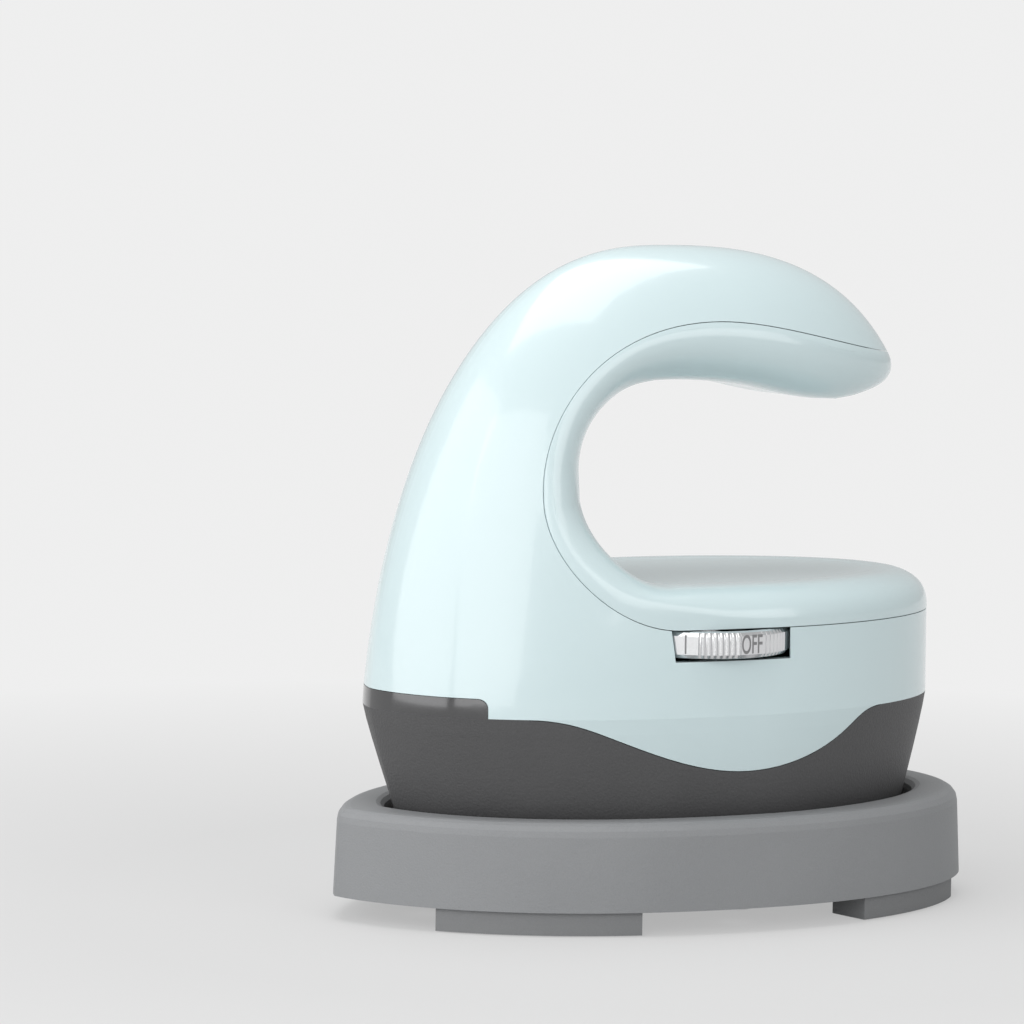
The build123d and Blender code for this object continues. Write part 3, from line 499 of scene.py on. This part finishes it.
Finish = Union[Moulded, SparkTexture, PlateCoating, SatinChrome, CircuitBoard, MicaFlakes]
FINISHES: Dict[str, Finish] = {
    "shell_gloss": Moulded(
        (0.61, 0.742, 0.762), (0.645, 0.77, 0.79),
        mottle=25.0, roughness=0.24, spread=0.03, grain=900.0, depth=0.0000015, coat=0.6,
    ),
    "lens_smoke": Moulded(
        (0.085, 0.085, 0.087), (0.105, 0.105, 0.107),
        mottle=60.0, roughness=0.12, spread=0.03, grain=900.0, depth=0.000001, metallic=0.85, coat=0.4,
    ),
    "skirt_dark": SparkTexture(
        (0.058, 0.058, 0.060), (0.105, 0.105, 0.107),
        roughness=0.5, grain=2100.0, depth=0.00007,
    ),
    "stand_grey": SparkTexture(
        (0.225, 0.232, 0.24), (0.29, 0.297, 0.305),
        roughness=0.5, grain=2600.0, depth=0.00003,
    ),
    "foot_rubber": SparkTexture(
        (0.19, 0.195, 0.20), (0.24, 0.245, 0.25),
        roughness=0.62, grain=2200.0, depth=0.00003,
    ),
    "pad_silicone": Moulded(
        (0.30, 0.30, 0.31), (0.36, 0.36, 0.37),
        mottle=60.0, roughness=0.55, spread=0.08, grain=1600.0, depth=0.00002,
    ),
    "plate_coating": PlateCoating(),
    "heater_steel": Moulded(
        (0.30, 0.27, 0.25), (0.42, 0.38, 0.35),
        mottle=150.0, roughness=0.38, spread=0.16, grain=3000.0, depth=0.000006, metallic=1.0,
    ),
    "screw_steel": Moulded(
        (0.56, 0.56, 0.57), (0.66, 0.66, 0.67),
        mottle=200.0, roughness=0.34, spread=0.12, grain=5000.0, depth=0.000004, metallic=1.0,
    ),
    "wheel_chrome": SatinChrome(),
    "ceramic_white": Moulded(
        (0.80, 0.78, 0.74), (0.86, 0.85, 0.82),
        mottle=120.0, roughness=0.62, spread=0.1, grain=3000.0, depth=0.00002,
    ),
    "mica_sheet": MicaFlakes(),
    "board_green": CircuitBoard(),
    "part_black": Moulded(
        (0.018, 0.018, 0.019), (0.03, 0.03, 0.031),
        mottle=150.0, roughness=0.46, spread=0.1, grain=2600.0, depth=0.00002,
    ),
    "relay_blue": Moulded(
        (0.02, 0.09, 0.30), (0.03, 0.12, 0.36),
        mottle=80.0, roughness=0.3, spread=0.06, grain=1500.0, depth=0.00001,
    ),
    "terminal_green": Moulded(
        (0.02, 0.22, 0.08), (0.03, 0.27, 0.10),
        mottle=80.0, roughness=0.42, spread=0.08, grain=1500.0, depth=0.00001,
    ),
    "capacitor_sleeve": Moulded(
        (0.012, 0.016, 0.09), (0.02, 0.03, 0.12),
        mottle=120.0, roughness=0.36, spread=0.1, grain=1800.0, depth=0.00001,
    ),
    "sensor_glass": Moulded(
        (0.42, 0.16, 0.04), (0.55, 0.25, 0.07),
        mottle=300.0, roughness=0.1, spread=0.04, grain=2000.0, depth=0.000005, coat=0.4,
    ),
    "clear_guide": Moulded(
        (0.80, 0.83, 0.84), (0.86, 0.88, 0.89),
        mottle=60.0, roughness=0.28, spread=0.06, grain=1500.0, depth=0.00001,
    ),
    "lamp_white": Moulded(
        (0.84, 0.84, 0.80), (0.90, 0.90, 0.87),
        mottle=200.0, roughness=0.2, spread=0.05, grain=2000.0, depth=0.00001,
    ),
    "gland_rubber": Moulded(
        (0.030, 0.030, 0.032), (0.045, 0.045, 0.047),
        mottle=90.0, roughness=0.72, spread=0.1, grain=2400.0, depth=0.00003,
    ),
}
INK = Moulded(
    (0.20, 0.20, 0.205), (0.25, 0.25, 0.255),
    mottle=400.0, roughness=0.5, spread=0.1, grain=3000.0, depth=0.000004,
)


@dataclass
class Wardrobe:
    """Every finish of the record, made once."""

    made: Dict[str, bpy.types.Material] = field(default_factory=dict)

    def get(self, slot: str) -> bpy.types.Material:
        """Material of a slot.

        Args:
            slot: The slot's name.

        Returns:
            The material, made when it is first asked for.
        """
        if slot not in self.made:
            self.made[slot] = FINISHES[slot].build(slot)
        return self.made[slot]

    def dress(self, frame: Dict[str, Any]) -> None:
        """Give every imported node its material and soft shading.
        """
        for part in frame["record"]["subparts"]:
            node = frame["nodes"][part["node"]]
            node.data.materials.clear()
            node.data.materials.append(self.get(part["material_slot"]))
            soften(node.data)


def ease(share: float) -> float:
    """A share held between 0 and 1 and eased at both ends."""
    held = min(1.0, max(0.0, share))
    return held * held * (3 - 2 * held)


def settle(before: float, now: float, after: float) -> float:
    """A number drawn half-way towards the mean of its neighbours."""
    return 0.5 * now + 0.25 * (before + after)


def soften(mesh: bpy.types.Mesh, angle: float = 32.0) -> None:
    """Shade a mesh smoothly, apart from edges sharper than an angle.

    Args:
        mesh: The mesh.
        angle: The angle in degrees.
    """
    mesh.shade_smooth()
    mesh.set_sharp_from_angle(angle=radians(angle))


# ---------------------------------------------------------------- thumb wheel
class Setting(Enum):
    """Heat settings printed on the wheel, with the turn that brings each to the front."""

    OFF = ("OFF", 0.0)
    LOW = ("1", 45.0)
    MIDDLE = ("2", 90.0)
    HIGH = ("3", 135.0)

    @property
    def label(self) -> str:
        """What is printed."""
        return self.value[0]

    @property
    def turn(self) -> float:
        """Turn of the wheel in degrees."""
        return self.value[1]


@dataclass
class ThumbWheel:
    """Fluted wheel with a flat printed panel for each setting; metres and degrees."""

    x: float = 0.00075
    y: float = -0.0204
    bottom: float = 0.0498
    height: float = 0.005
    radius: float = 0.0164
    rim_inside: float = 0.0140
    hub: float = 0.005
    bore: float = 0.00305
    web: float = 0.0022
    chamfer: float = 0.0004
    flute_depth: float = 0.00032
    flute_angle: float = 4.0
    panel_angle: float = 17.0
    front: float = -84.0
    steps: int = 1440
    print_height: float = 0.0049
    print_squeeze: float = 0.54
    print_weight: float = 0.00006
    print_depth: float = 0.00001
    crease: float = 28.0

    def _panel_places(self) -> List[float]:
        """Angles of the panels' middles in degrees."""
        return [self.front - setting.turn for setting in Setting]

    def _rim(self, angle: float) -> float:
        """Radius of the rim at an angle.

        Args:
            angle: Angle in degrees.

        Returns:
            The radius in metres.
        """
        for middle in self._panel_places():
            off = (angle - middle + 180) % 360 - 180
            if abs(off) < self.panel_angle / 2:
                return self.radius * cos(radians(self.panel_angle / 2)) / cos(radians(off))
        turn = 2 * pi * (angle - self.front - self.panel_angle / 2) / self.flute_angle
        return self.radius - self.flute_depth * (0.5 + 0.5 * cos(turn))

    def _profile(self, rim: float) -> List[Tuple[float, float]]:
        """Section of the wheel as a closed ring of radius and height.

        Args:
            rim: Radius of the rim.

        Returns:
            The points of the section.
        """
        low, high, cut = self.bottom, self.bottom + self.height, self.chamfer
        sink = (self.height - self.web) / 2
        return [
            (self.bore, low), (self.hub - cut, low), (self.hub, low + cut), (self.hub, low + sink),
            (self.rim_inside, low + sink), (self.rim_inside, low + cut), (self.rim_inside + cut, low),
            (self.radius - 3 * cut, low), (self.radius - 1.6 * cut, low + 0.4 * cut),
            (rim, low + 2 * cut), (rim, high - 2 * cut),
            (self.radius - 1.6 * cut, high - 0.4 * cut), (self.radius - 3 * cut, high),
            (self.rim_inside + cut, high), (self.rim_inside, high - cut), (self.rim_inside, high - sink),
            (self.hub, high - sink), (self.hub, high - cut), (self.hub - cut, high), (self.bore, high),
        ]

    def build(self, wardrobe: Wardrobe) -> None:
        """Make the wheel and its printing.

        Args:
            wardrobe: The finishes.
        """
        form = bmesh.new()
        rings = []
        for step in range(self.steps):
            angle = 360.0 * step / self.steps
            c, s = cos(radians(angle)), sin(radians(angle))
            section = self._profile(self._rim(angle))
            rings.append([form.verts.new((self.x + r * c, self.y + r * s, z)) for r, z in section])
        for ring, after in zip(rings, rings[1:] + rings[:1]):
            for k in range(len(ring)):
                follow = (k + 1) % len(ring)
                form.faces.new((ring[k], after[k], after[follow], ring[follow]))
        bmesh.ops.recalc_face_normals(form, faces=form.faces)
        wheel = new_piece("dial_wheel", form, wardrobe.get("wheel_chrome"), self.crease)
        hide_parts("thumb_wheel")
        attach(wheel, "wheel")
        ink = INK.build("dial_ink")
        for setting in Setting:
            self._print(setting, ink)
        log.info("thumb wheel with %d printed settings", len(Setting))

    def _print(self, setting: Setting, ink: bpy.types.Material) -> None:
        """Print one setting on its panel.

        Args:
            setting: The setting.
            ink: The ink.
        """
        curve = bpy.data.curves.new("label", "FONT")
        curve.body = setting.label
        curve.align_x, curve.align_y = "CENTER", "CENTER"
        curve.size = self.print_height
        curve.offset = self.print_weight
        curve.extrude = self.print_depth
        text = bpy.data.objects.new("label", curve)
        bpy.context.scene.collection.objects.link(text)
        drawn = text.evaluated_get(bpy.context.evaluated_depsgraph_get())
        mesh = bpy.data.meshes.new_from_object(drawn)
        bpy.data.objects.remove(text)
        angle = radians(self.front - setting.turn)
        outward = Vector((cos(angle), sin(angle), 0))
        along = Vector((-sin(angle), cos(angle), 0))
        turn = Matrix((along * self.print_squeeze, Vector((0, 0, 1)), outward)).transposed().to_4x4()
        reach = self.radius * cos(radians(self.panel_angle / 2)) + self.print_depth
        turn.translation = Vector((self.x, self.y, self.bottom + self.height / 2)) + outward * reach
        mesh.transform(turn)
        mesh.materials.clear()
        mesh.materials.append(ink)
        piece = bpy.data.objects.new("dial_print_" + setting.name.lower(), mesh)
        bpy.context.scene.collection.objects.link(piece)
        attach(piece, "wheel")


def new_piece(
    name: str, form: bmesh.types.BMesh, material: bpy.types.Material, angle: float,
) -> bpy.types.Object:
    """Turn a form into an object of the scene.

    Args:
        name: The object's name.
        form: The form, which is freed.
        material: Its material.
        angle: Edges sharper than this many degrees stay sharp.

    Returns:
        The object.
    """
    mesh = bpy.data.meshes.new(name)
    form.to_mesh(mesh)
    form.free()
    mesh.materials.append(material)
    soften(mesh, angle)
    piece = bpy.data.objects.new(name, mesh)
    bpy.context.scene.collection.objects.link(piece)
    return piece


# ---------------------------------------------------------------- skin of the inner cover
@dataclass(frozen=True)
class Station:
    """Plane in which one section of the skin lies.

    The shares go from 0 to 1: tip for a fuller roll, deck for the deck's own depth, square for a
    squarer roll.
    """

    base: Vector
    into: Vector
    outward: Vector
    tip: float = 0.0
    deck: float = 0.0
    square: float = 0.0

    def point(self, reach: float, depth: float) -> Vector:
        """Point of the plane.

        Args:
            reach: Distance from the base along the outward direction.
            depth: Distance from the base towards the material.

        Returns:
            The point.
        """
        return self.base + self.outward * reach + self.into * depth


@dataclass(frozen=True)
class Section:
    """One measured section of the skin: where its core lies and the distances from there."""

    core: float
    seam: float
    reaches: List[float]
    solids: List[float]


@dataclass
class CoverSkin:
    """Smooth skin of the inner cover: from the seam over the roll to the surface that fingers touch.

    It runs round the whole opening: deck, column, handle and both round ends. Sizes in metres.
    """

    # the opening and the seam
    tip_pivot: float = 0.035
    deck_pivot: float = 0.021
    face: float = -0.021
    deck_top: float = 0.0622
    underside: float = 0.0986
    corner: float = 0.0165
    arch: float = 0.0165
    deck_seam: float = 0.0550
    deck_back: float = -0.0095
    # width of the skin, its height over the solid and its laps under the neighbours
    depth: float = 0.0105
    deck_depth: float = 0.0125
    proud: float = 0.00003
    cover: float = 0.00012
    cover_limit: float = 0.0026
    seam_lap: float = 0.0001
    outer_lap: float = 0.0015
    inner_lap: float = 0.0025
    # rays that measure the solids
    deck_margin: float = 0.0003
    side_margin: float = 0.0007
    probe: float = 0.001
    ray_start: float = 0.06
    ray_length: float = 0.07
    ray_back: float = 0.028
    seam_range: float = 0.019
    halvings: int = 16
    # handles of the drawn roll, as shares of its height, width and lean
    rise: float = 0.44
    rise_square: float = 0.28
    chin: float = 0.69
    chin_tip: float = 0.34
    chin_square: float = 0.19
    chin_tilt: float = 0.4
    lean_side: float = 1.15
    lean_deck: float = 0.65
    curve_steps: int = 160
    # numbers of sections, and where the deck's shares end
    deck_steps: int = 24
    foot_steps: int = 30
    arch_steps: int = 30
    handle_steps: int = 36
    tip_steps: int = 72
    end_steps: int = 96
    fade_steps: int = 21
    square_end: int = 33
    # rows from the seam to the inner edge, and how they are evened out
    rows: int = 40
    cover_in: int = 5
    cover_out: int = 14
    rounds: int = 14
    hem: int = 8
    crease: float = 50.0
    covers: List[BVHTree] = field(default_factory=list)

    def _side(self, sign: float) -> List[Station]:
        """Sections from the deck up the column and along the handle on one side.

        Args:
            sign: -1 for the right side, 1 for the left side.

        Returns:
            The sections.
        """
        out = Vector((0, sign, 0))
        low, high = self.deck_top + self.corner, self.underside - self.arch
        near, far = self.face + self.corner, self.face + self.arch
        made = []
        for k in range(self.deck_steps):
            x = self.deck_pivot + (near - self.deck_pivot) * k / self.deck_steps
            made.append(Station(Vector((x, 0, low)), Vector((0, 0, -1)), out, deck=1.0, square=1.0))
        for k in range(self.foot_steps):
            angle = radians(-90 - 90 * k / self.foot_steps)
            share = ease((self.fade_steps - k) / self.fade_steps)
            square = ease((self.square_end - k) / self.fade_steps)
            into = Vector((cos(angle), 0, sin(angle)))
            made.append(Station(Vector((near, 0, low)), into, out, deck=share, square=square))
        for k in range(self.arch_steps):
            angle = radians(180 - 90 * k / self.arch_steps)
            made.append(Station(Vector((far, 0, high)), Vector((cos(angle), 0, sin(angle))), out))
        for k in range(self.handle_steps):
            x = far + (self.tip_pivot - far) * k / self.handle_steps
            made.append(Station(Vector((x, 0, high)), Vector((0, 0, 1)), out))
        return made

    @staticmethod
    def _fan(
        pivot: Vector, into: Vector, start: float, end: float, tip: float, count: int,
    ) -> List[Station]:
        """Sections round one of the two ends.

        Args:
            pivot: Middle of the end.
            into: Direction towards the material.
            start: First angle in degrees.
            end: Last angle.
            tip: 1 where the end is fuller than the sides.
            count: Number of sections.

        Returns:
            The sections.
        """
        made = []
        for k in range(count):
            angle = radians(start + (end - start) * k / count)
            out = Vector((cos(angle), sin(angle), 0))
            made.append(Station(pivot, into, out, tip * sqrt(max(0.0, cos(angle))), 1.0 - tip, 1.0 - tip))
        return made

    def _stations(self) -> List[Station]:
        """Place all sections in one closed round.

        Returns:
            The sections.
        """
        right, left = self._side(-1.0), self._side(1.0)
        tip = Vector((self.tip_pivot, 0, self.underside - self.arch))
        deck = Vector((self.deck_pivot, 0, self.deck_top + self.corner))
        made = right + self._fan(tip, Vector((0, 0, 1)), -90, 90, 1.0, self.tip_steps)
        made += [Station(tip, Vector((0, 0, 1)), Vector((0, 1, 0)))] + left[:0:-1]
        made.append(left[0])
        made += self._fan(deck, Vector((0, 0, -1)), 90, -90, 0.0, self.end_steps)[1:]
        return made

    def _hit(self, origin: Vector, aim: Vector) -> Tuple[Optional[Vector], int]:
        """First surface met from outside.

        Args:
            origin: Start of the ray.
            aim: Direction.

        Returns:
            The point, or None, and the number of the cover that it lies on.
        """
        best, which, nearest = None, -1, self.ray_length
        for number, cover in enumerate(self.covers):
            spot, _, _, distance = cover.ray_cast(origin, aim, nearest)
            if spot is not None:
                best, which, nearest = spot, number, distance
        return best, which

    def _reach(self, station: Station, depth: float) -> float:
        """Distance of the outer surface at a depth.

        Args:
            station: The section.
            depth: The depth.

        Returns:
            The distance from the station's base.
        """
        spot, _ = self._hit(station.point(self.ray_start, depth), -station.outward)
        return (spot - station.base).dot(station.outward) if spot else 0.0

    def _floor(self, station: Station, reach: float) -> float:
        """Depth of the surface that fingers touch.

        Args:
            station: The section.
            reach: Distance from the station's base.

        Returns:
            The depth.
        """
        spot, _ = self._hit(station.point(reach, 0.0), station.into)
        return (spot - station.base).dot(station.into)

    def _seam(self, station: Station, crown: float) -> float:
        """Depth of the seam at a station, found by halving.

        Args:
            station: The section.
            crown: Depth of the surface that fingers touch.

        Returns:
            The depth.
        """
        level = (station.base.z - self.deck_seam) / max(-station.into.z, 1e-6)
        if station.deck and station.base.x + station.into.x * level > self.deck_back:
            return level
        near, far = crown, crown + self.seam_range
        for _ in range(self.halvings):
            middle = (near + far) / 2
            _, which = self._hit(station.point(self.ray_start, middle), -station.outward)
            near, far = (middle, far) if which == 0 else (near, middle)
        return near

    def _edge(self, station: Station, seam: float) -> Tuple[float, float]:
        """Where the outer surface meets the seam, and its lean there.

        Args:
            station: The section.
            seam: Depth of the seam.

        Returns:
            The distance from the station's base, and its growth for each metre towards the fingers.
        """
        way, margin = (-1.0, self.deck_margin) if station.deck > 0.5 else (1.0, self.side_margin)
        near = self._reach(station, seam + way * margin)
        far = self._reach(station, seam + way * (margin + self.probe))
        slope = way * (near - far) / self.probe
        return near + way * slope * margin, slope

    def _curve(self, ends: List[Tuple[float, float]], core: float) -> List[Tuple[float, float]]:
        """Cubic curve seen from the core.

        Args:
            ends: Its four control points as reach and height above the seam.
            core: Reach of the core.

        Returns:
            The angle in radians and the distance of each point.
        """
        ring = []
        for k in range(self.curve_steps + 1):
            t = k / self.curve_steps
            parts = ((1 - t) ** 3, 3 * t * (1 - t) ** 2, 3 * t * t * (1 - t), t ** 3)
            reach = sum(part * end[0] for part, end in zip(parts, ends)) - core
            height = sum(part * end[1] for part, end in zip(parts, ends))
            ring.append((atan2(height, reach), hypot(reach, height)))
        return ring

    @staticmethod
    def _distance(ring: List[Tuple[float, float]], lean: float) -> float:
        """Distance of a curve in one direction.

        Args:
            ring: Angle and distance of the curve's points.
            lean: The direction in radians.

        Returns:
            The distance.
        """
        for (start, near), (end, far) in zip(ring, ring[1:]):
            if start <= lean <= end:
                return near + (far - near) * (lean - start) / max(end - start, 1e-9)
        return ring[-1][1]

    def _section(self, station: Station) -> Section:
        """Measure one section.

        Args:
            station: The section's plane.

        Returns:
            The core, the drawn distances and the least distances that hide the solid.
        """
        seam = self._seam(station, self._floor(station, 0.0))
        edge, slope = self._edge(station, seam)
        seam -= self.seam_lap
        core = edge - self.depth - (self.deck_depth - self.depth) * station.deck
        floor = self._floor(station, core)
        tilt = (self._floor(station, core - self.probe) - floor) / self.probe
        height = seam - floor
        down = height * (self.rise + self.rise_square * station.square)
        full = self.chin + self.chin_tip * station.tip + self.chin_square * station.square
        chin = (edge - core) * full
        out = slope * down * (self.lean_side - self.lean_deck * station.deck)
        under = height + tilt * chin * self.chin_tilt
        ring = self._curve([(edge, 0.0), (edge + out, down), (core + chin, under), (core, height)], core)
        centre = station.point(core, seam)
        reaches, solids = [], []
        for row in range(self.rows + 1):
            lean = radians(90 * row / self.rows)
            drawn = self._distance(ring, lean)
            aim = station.outward * cos(lean) - station.into * sin(lean)
            spot, _ = self._hit(centre + aim * self.ray_back, -aim)
            found = (spot - centre).length if spot else drawn
            fade = min(1.0, row / self.cover_in, (self.rows - row) / self.cover_out)
            hidden = found + self.cover * fade
            reaches.append(drawn)
            solids.append(hidden if 0 < hidden - drawn < self.cover_limit else 0.0)
        return Section(core, seam, reaches, solids)

    def _smooth(self, sections: List[Section]) -> List[List[float]]:
        """Even out the steps between neighbouring sections and rows, and keep the solid hidden.

        Args:
            sections: What each section measures.

        Returns:
            The distances of every section.
        """
        first = [section.reaches for section in sections]
        floors = [section.solids for section in sections]
        grid = [list(reaches) for reaches in first]
        for turn in range(self.rounds):
            if turn < self.rounds - 1:
                grid = [[max(pair) for pair in zip(ring, floor)] for ring, floor in zip(grid, floors)]
            around = zip(grid[-1:] + grid[:-1], grid, grid[1:] + grid[:1])
            grid = [[settle(*spots) for spots in zip(*rings)] for rings in around]
            grid = [
                ring[:1] + [settle(*spots) for spots in zip(ring, ring[1:], ring[2:])] + ring[-1:]
                for ring in grid
            ]
        kept = [max(0.0, 1 - (self.rows - row) / self.hem) for row in range(self.rows + 1)]
        return [
            [new * (1 - share) + old * share for new, old, share in zip(ring, before, kept)]
            for ring, before in zip(grid, first)
        ]

    def build(self, frame: Dict[str, Any], wardrobe: Wardrobe) -> None:
        """Make the skin.

        Args:
            wardrobe: The finishes.
        """
        for node in ("inner_cover", "outer_shell"):
            form = bmesh.new()
            form.from_mesh(frame["nodes"][node].data)
            self.covers.append(BVHTree.FromBMesh(form))
            form.free()
        stations = self._stations()
        sections = [self._section(station) for station in stations]
        form = bmesh.new()
        rings = []
        for station, section, reaches in zip(stations, sections, self._smooth(sections)):
            core, seam = section.core, section.seam
            spots = [station.point(core + reaches[0] - self.outer_lap, seam)]
            for row, reach in enumerate(reaches):
                lean = radians(90 * row / self.rows)
                length = reach + self.proud
                spots.append(station.point(core + length * cos(lean), seam - length * sin(lean)))
            spots.append(station.point(core - self.inner_lap, seam - reaches[-1] + self.proud))
            rings.append([form.verts.new(spot) for spot in spots])
        for ring, after in zip(rings, rings[1:] + rings[:1]):
            for k in range(len(ring) - 1):
                form.faces.new((ring[k], ring[k + 1], after[k + 1], after[k]))
        bmesh.ops.recalc_face_normals(form, faces=form.faces)
        skin = new_piece("cover_skin", form, wardrobe.get("shell_gloss"), self.crease)
        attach(skin, "press")
        log.info("cover skin with %d sections", len(stations))


# ---------------------------------------------------------------- light and camera
@dataclass(frozen=True)
class Viewpoint:
    """Camera of the product view.

    Angles are in degrees, distances in metres, focal length and width in pixels, the sensor in mm.
    """

    azimuth: float = -25.94
    elevation: float = 5.12
    roll: float = 0.78
    distance: float = 0.8711
    aside: float = -0.02503
    above: float = 0.07334
    focal: float = 4570.76
    width: float = 1024.0
    sensor: float = 36.0
    clip: Tuple[float, float] = (0.05, 20.0)

    def build(self) -> None:
        """Place the camera."""
        azimuth, elevation, roll = [radians(angle) for angle in (self.azimuth, self.elevation, self.roll)]
        back = Vector((sin(azimuth) * cos(elevation), -cos(azimuth) * cos(elevation), sin(elevation)))
        right = Vector((cos(azimuth), sin(azimuth), 0.0))
        up = back.cross(right)
        right, up = right * cos(roll) + up * sin(roll), up * cos(roll) - right * sin(roll)
        data = bpy.data.cameras.new("camera")
        data.sensor_width = self.sensor
        data.lens = self.focal / self.width * self.sensor
        data.clip_start, data.clip_end = self.clip
        camera = bpy.data.objects.new("camera", data)
        turn = Matrix((right, up, back)).transposed().to_4x4()
        turn.translation = back * self.distance + right * self.aside + up * self.above
        camera.matrix_world = turn
        bpy.context.scene.collection.objects.link(camera)
        bpy.context.scene.camera = camera
        log.info("camera at %.3f m", self.distance)


@dataclass(frozen=True)
class Softbox:
    """Rectangular lamp aimed at a point."""

    name: str
    place: Tuple[float, float, float]
    size: Tuple[float, float]
    power: float
    aim: Tuple[float, float, float] = (0.0, 0.0, 0.06)

    def build(self) -> None:
        """Place the lamp."""
        data = bpy.data.lights.new(self.name, "AREA")
        data.shape = "RECTANGLE"
        data.size, data.size_y = self.size
        data.energy = self.power
        lamp = bpy.data.objects.new(self.name, data)
        lamp.location = self.place
        lamp.rotation_mode = "QUATERNION"
        lamp.rotation_quaternion = (Vector(self.aim) - Vector(self.place)).to_track_quat("-Z", "Y")
        bpy.context.scene.collection.objects.link(lamp)


@dataclass(frozen=True)
class Studio:
    """Plain pale floor that fades into the background, soft lamps and an even world."""

    floor_size: float = 60.0
    floor_drop: float = 0.0002
    floor_colour: Colour = (0.50, 0.50, 0.50)
    floor_tint: Colour = (0.56, 0.56, 0.56)
    floor_roughness: float = 0.85
    floor_far: Colour = (0.86, 0.86, 0.86)
    fade_start: float = 0.11
    fade_length: float = 0.22
    near_share: float = 0.5
    world_level: float = 0.33
    seen_level: float = 0.86
    mirror_share: float = 0.45
    boxes: Tuple[Softbox, ...] = (
        Softbox("key_box", place=(-0.95, 0.02, 0.40), size=(0.85, 0.95), power=4.5),
        Softbox("band_box", place=(-0.80, -0.67, 0.42), size=(0.64, 0.85), power=3.2),
        Softbox("front_box", place=(0.35, -1.15, 0.55), size=(1.1, 0.6), power=3.7),
        Softbox("top_box", place=(-0.10, 0.10, 1.2), size=(1.1, 0.9), power=8.7),
    )

    def build(self) -> None:
        """Make the floor, the world and the lamps."""
        mesh = bpy.data.meshes.new("floor")
        form = bmesh.new()
        bmesh.ops.create_grid(form, x_segments=2, y_segments=2, size=self.floor_size / 2)
        form.to_mesh(mesh)
        form.free()
        floor = bpy.data.objects.new("floor", mesh)
        floor.location = (0, 0, -self.floor_drop)
        bpy.context.scene.collection.objects.link(floor)
        mesh.materials.append(self._floor_material())
        self._world()
        for box in self.boxes:
            box.build()
        bpy.context.scene.view_settings.view_transform = "Standard"
        log.info("studio with %d lamps", len(self.boxes))

    def _floor_material(self) -> bpy.types.Material:
        """Matt pale floor that runs out into the pale background.

        Returns:
            The material.
        """
        graph = Graph("floor_paint")
        paint = graph.node("ShaderNodeBsdfPrincipled", {}, {
            "Base Color": graph.blend(graph.noise(3.0, 2.0), self.floor_colour, self.floor_tint),
            "Roughness": self.floor_roughness,
        })
        glow = graph.node("ShaderNodeEmission", {}, {"Color": (*self.floor_far, 1.0)})
        reach = graph.node("ShaderNodeVectorMath", {"operation": "LENGTH"}, {0: graph.coords()}, "Value")
        far = ((reach - self.fade_start) / self.fade_length).clear()
        camera = graph.node("ShaderNodeLightPath", out="Is Camera Ray")
        glossy = graph.node("ShaderNodeLightPath", out="Is Glossy Ray")
        share = (camera + glossy).clear() * (far * (1 - self.near_share) + self.near_share)
        graph.close(graph.node("ShaderNodeMixShader", {}, {0: share, 1: paint, 2: glow}))
        return graph.material

    def _world(self) -> None:
        """Even world: dim as a light, pale to the camera and between the two in mirrors."""
        world = bpy.data.worlds.new("studio")
        bpy.context.scene.world = world
        graph = Tree(world, "ShaderNodeOutputWorld")
        camera = graph.node("ShaderNodeLightPath", out="Is Camera Ray")
        through = graph.node("ShaderNodeLightPath", out="Is Transmission Ray")
        glossy = graph.node("ShaderNodeLightPath", out="Is Glossy Ray")
        seen = camera.most(through.most(glossy * self.mirror_share))
        ends = {"Value": seen, "To Min": self.world_level, "To Max": self.seen_level}
        level = graph.node("ShaderNodeMapRange", {}, ends)
        white = (1.0, 1.0, 1.0, 1.0)
        graph.close(graph.node("ShaderNodeBackground", {}, {"Color": white, "Strength": level}))


def main() -> None:
    """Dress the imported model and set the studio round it."""
    logging.basicConfig(level=logging.INFO, format="%(name)s: %(message)s")
    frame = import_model()
    wardrobe = Wardrobe()
    wardrobe.dress(frame)
    ThumbWheel().build(wardrobe)
    CoverSkin().build(frame, wardrobe)
    Studio().build()
    Viewpoint().build()
    bpy.context.view_layer.update()


if __name__ == "__main__":
    main()
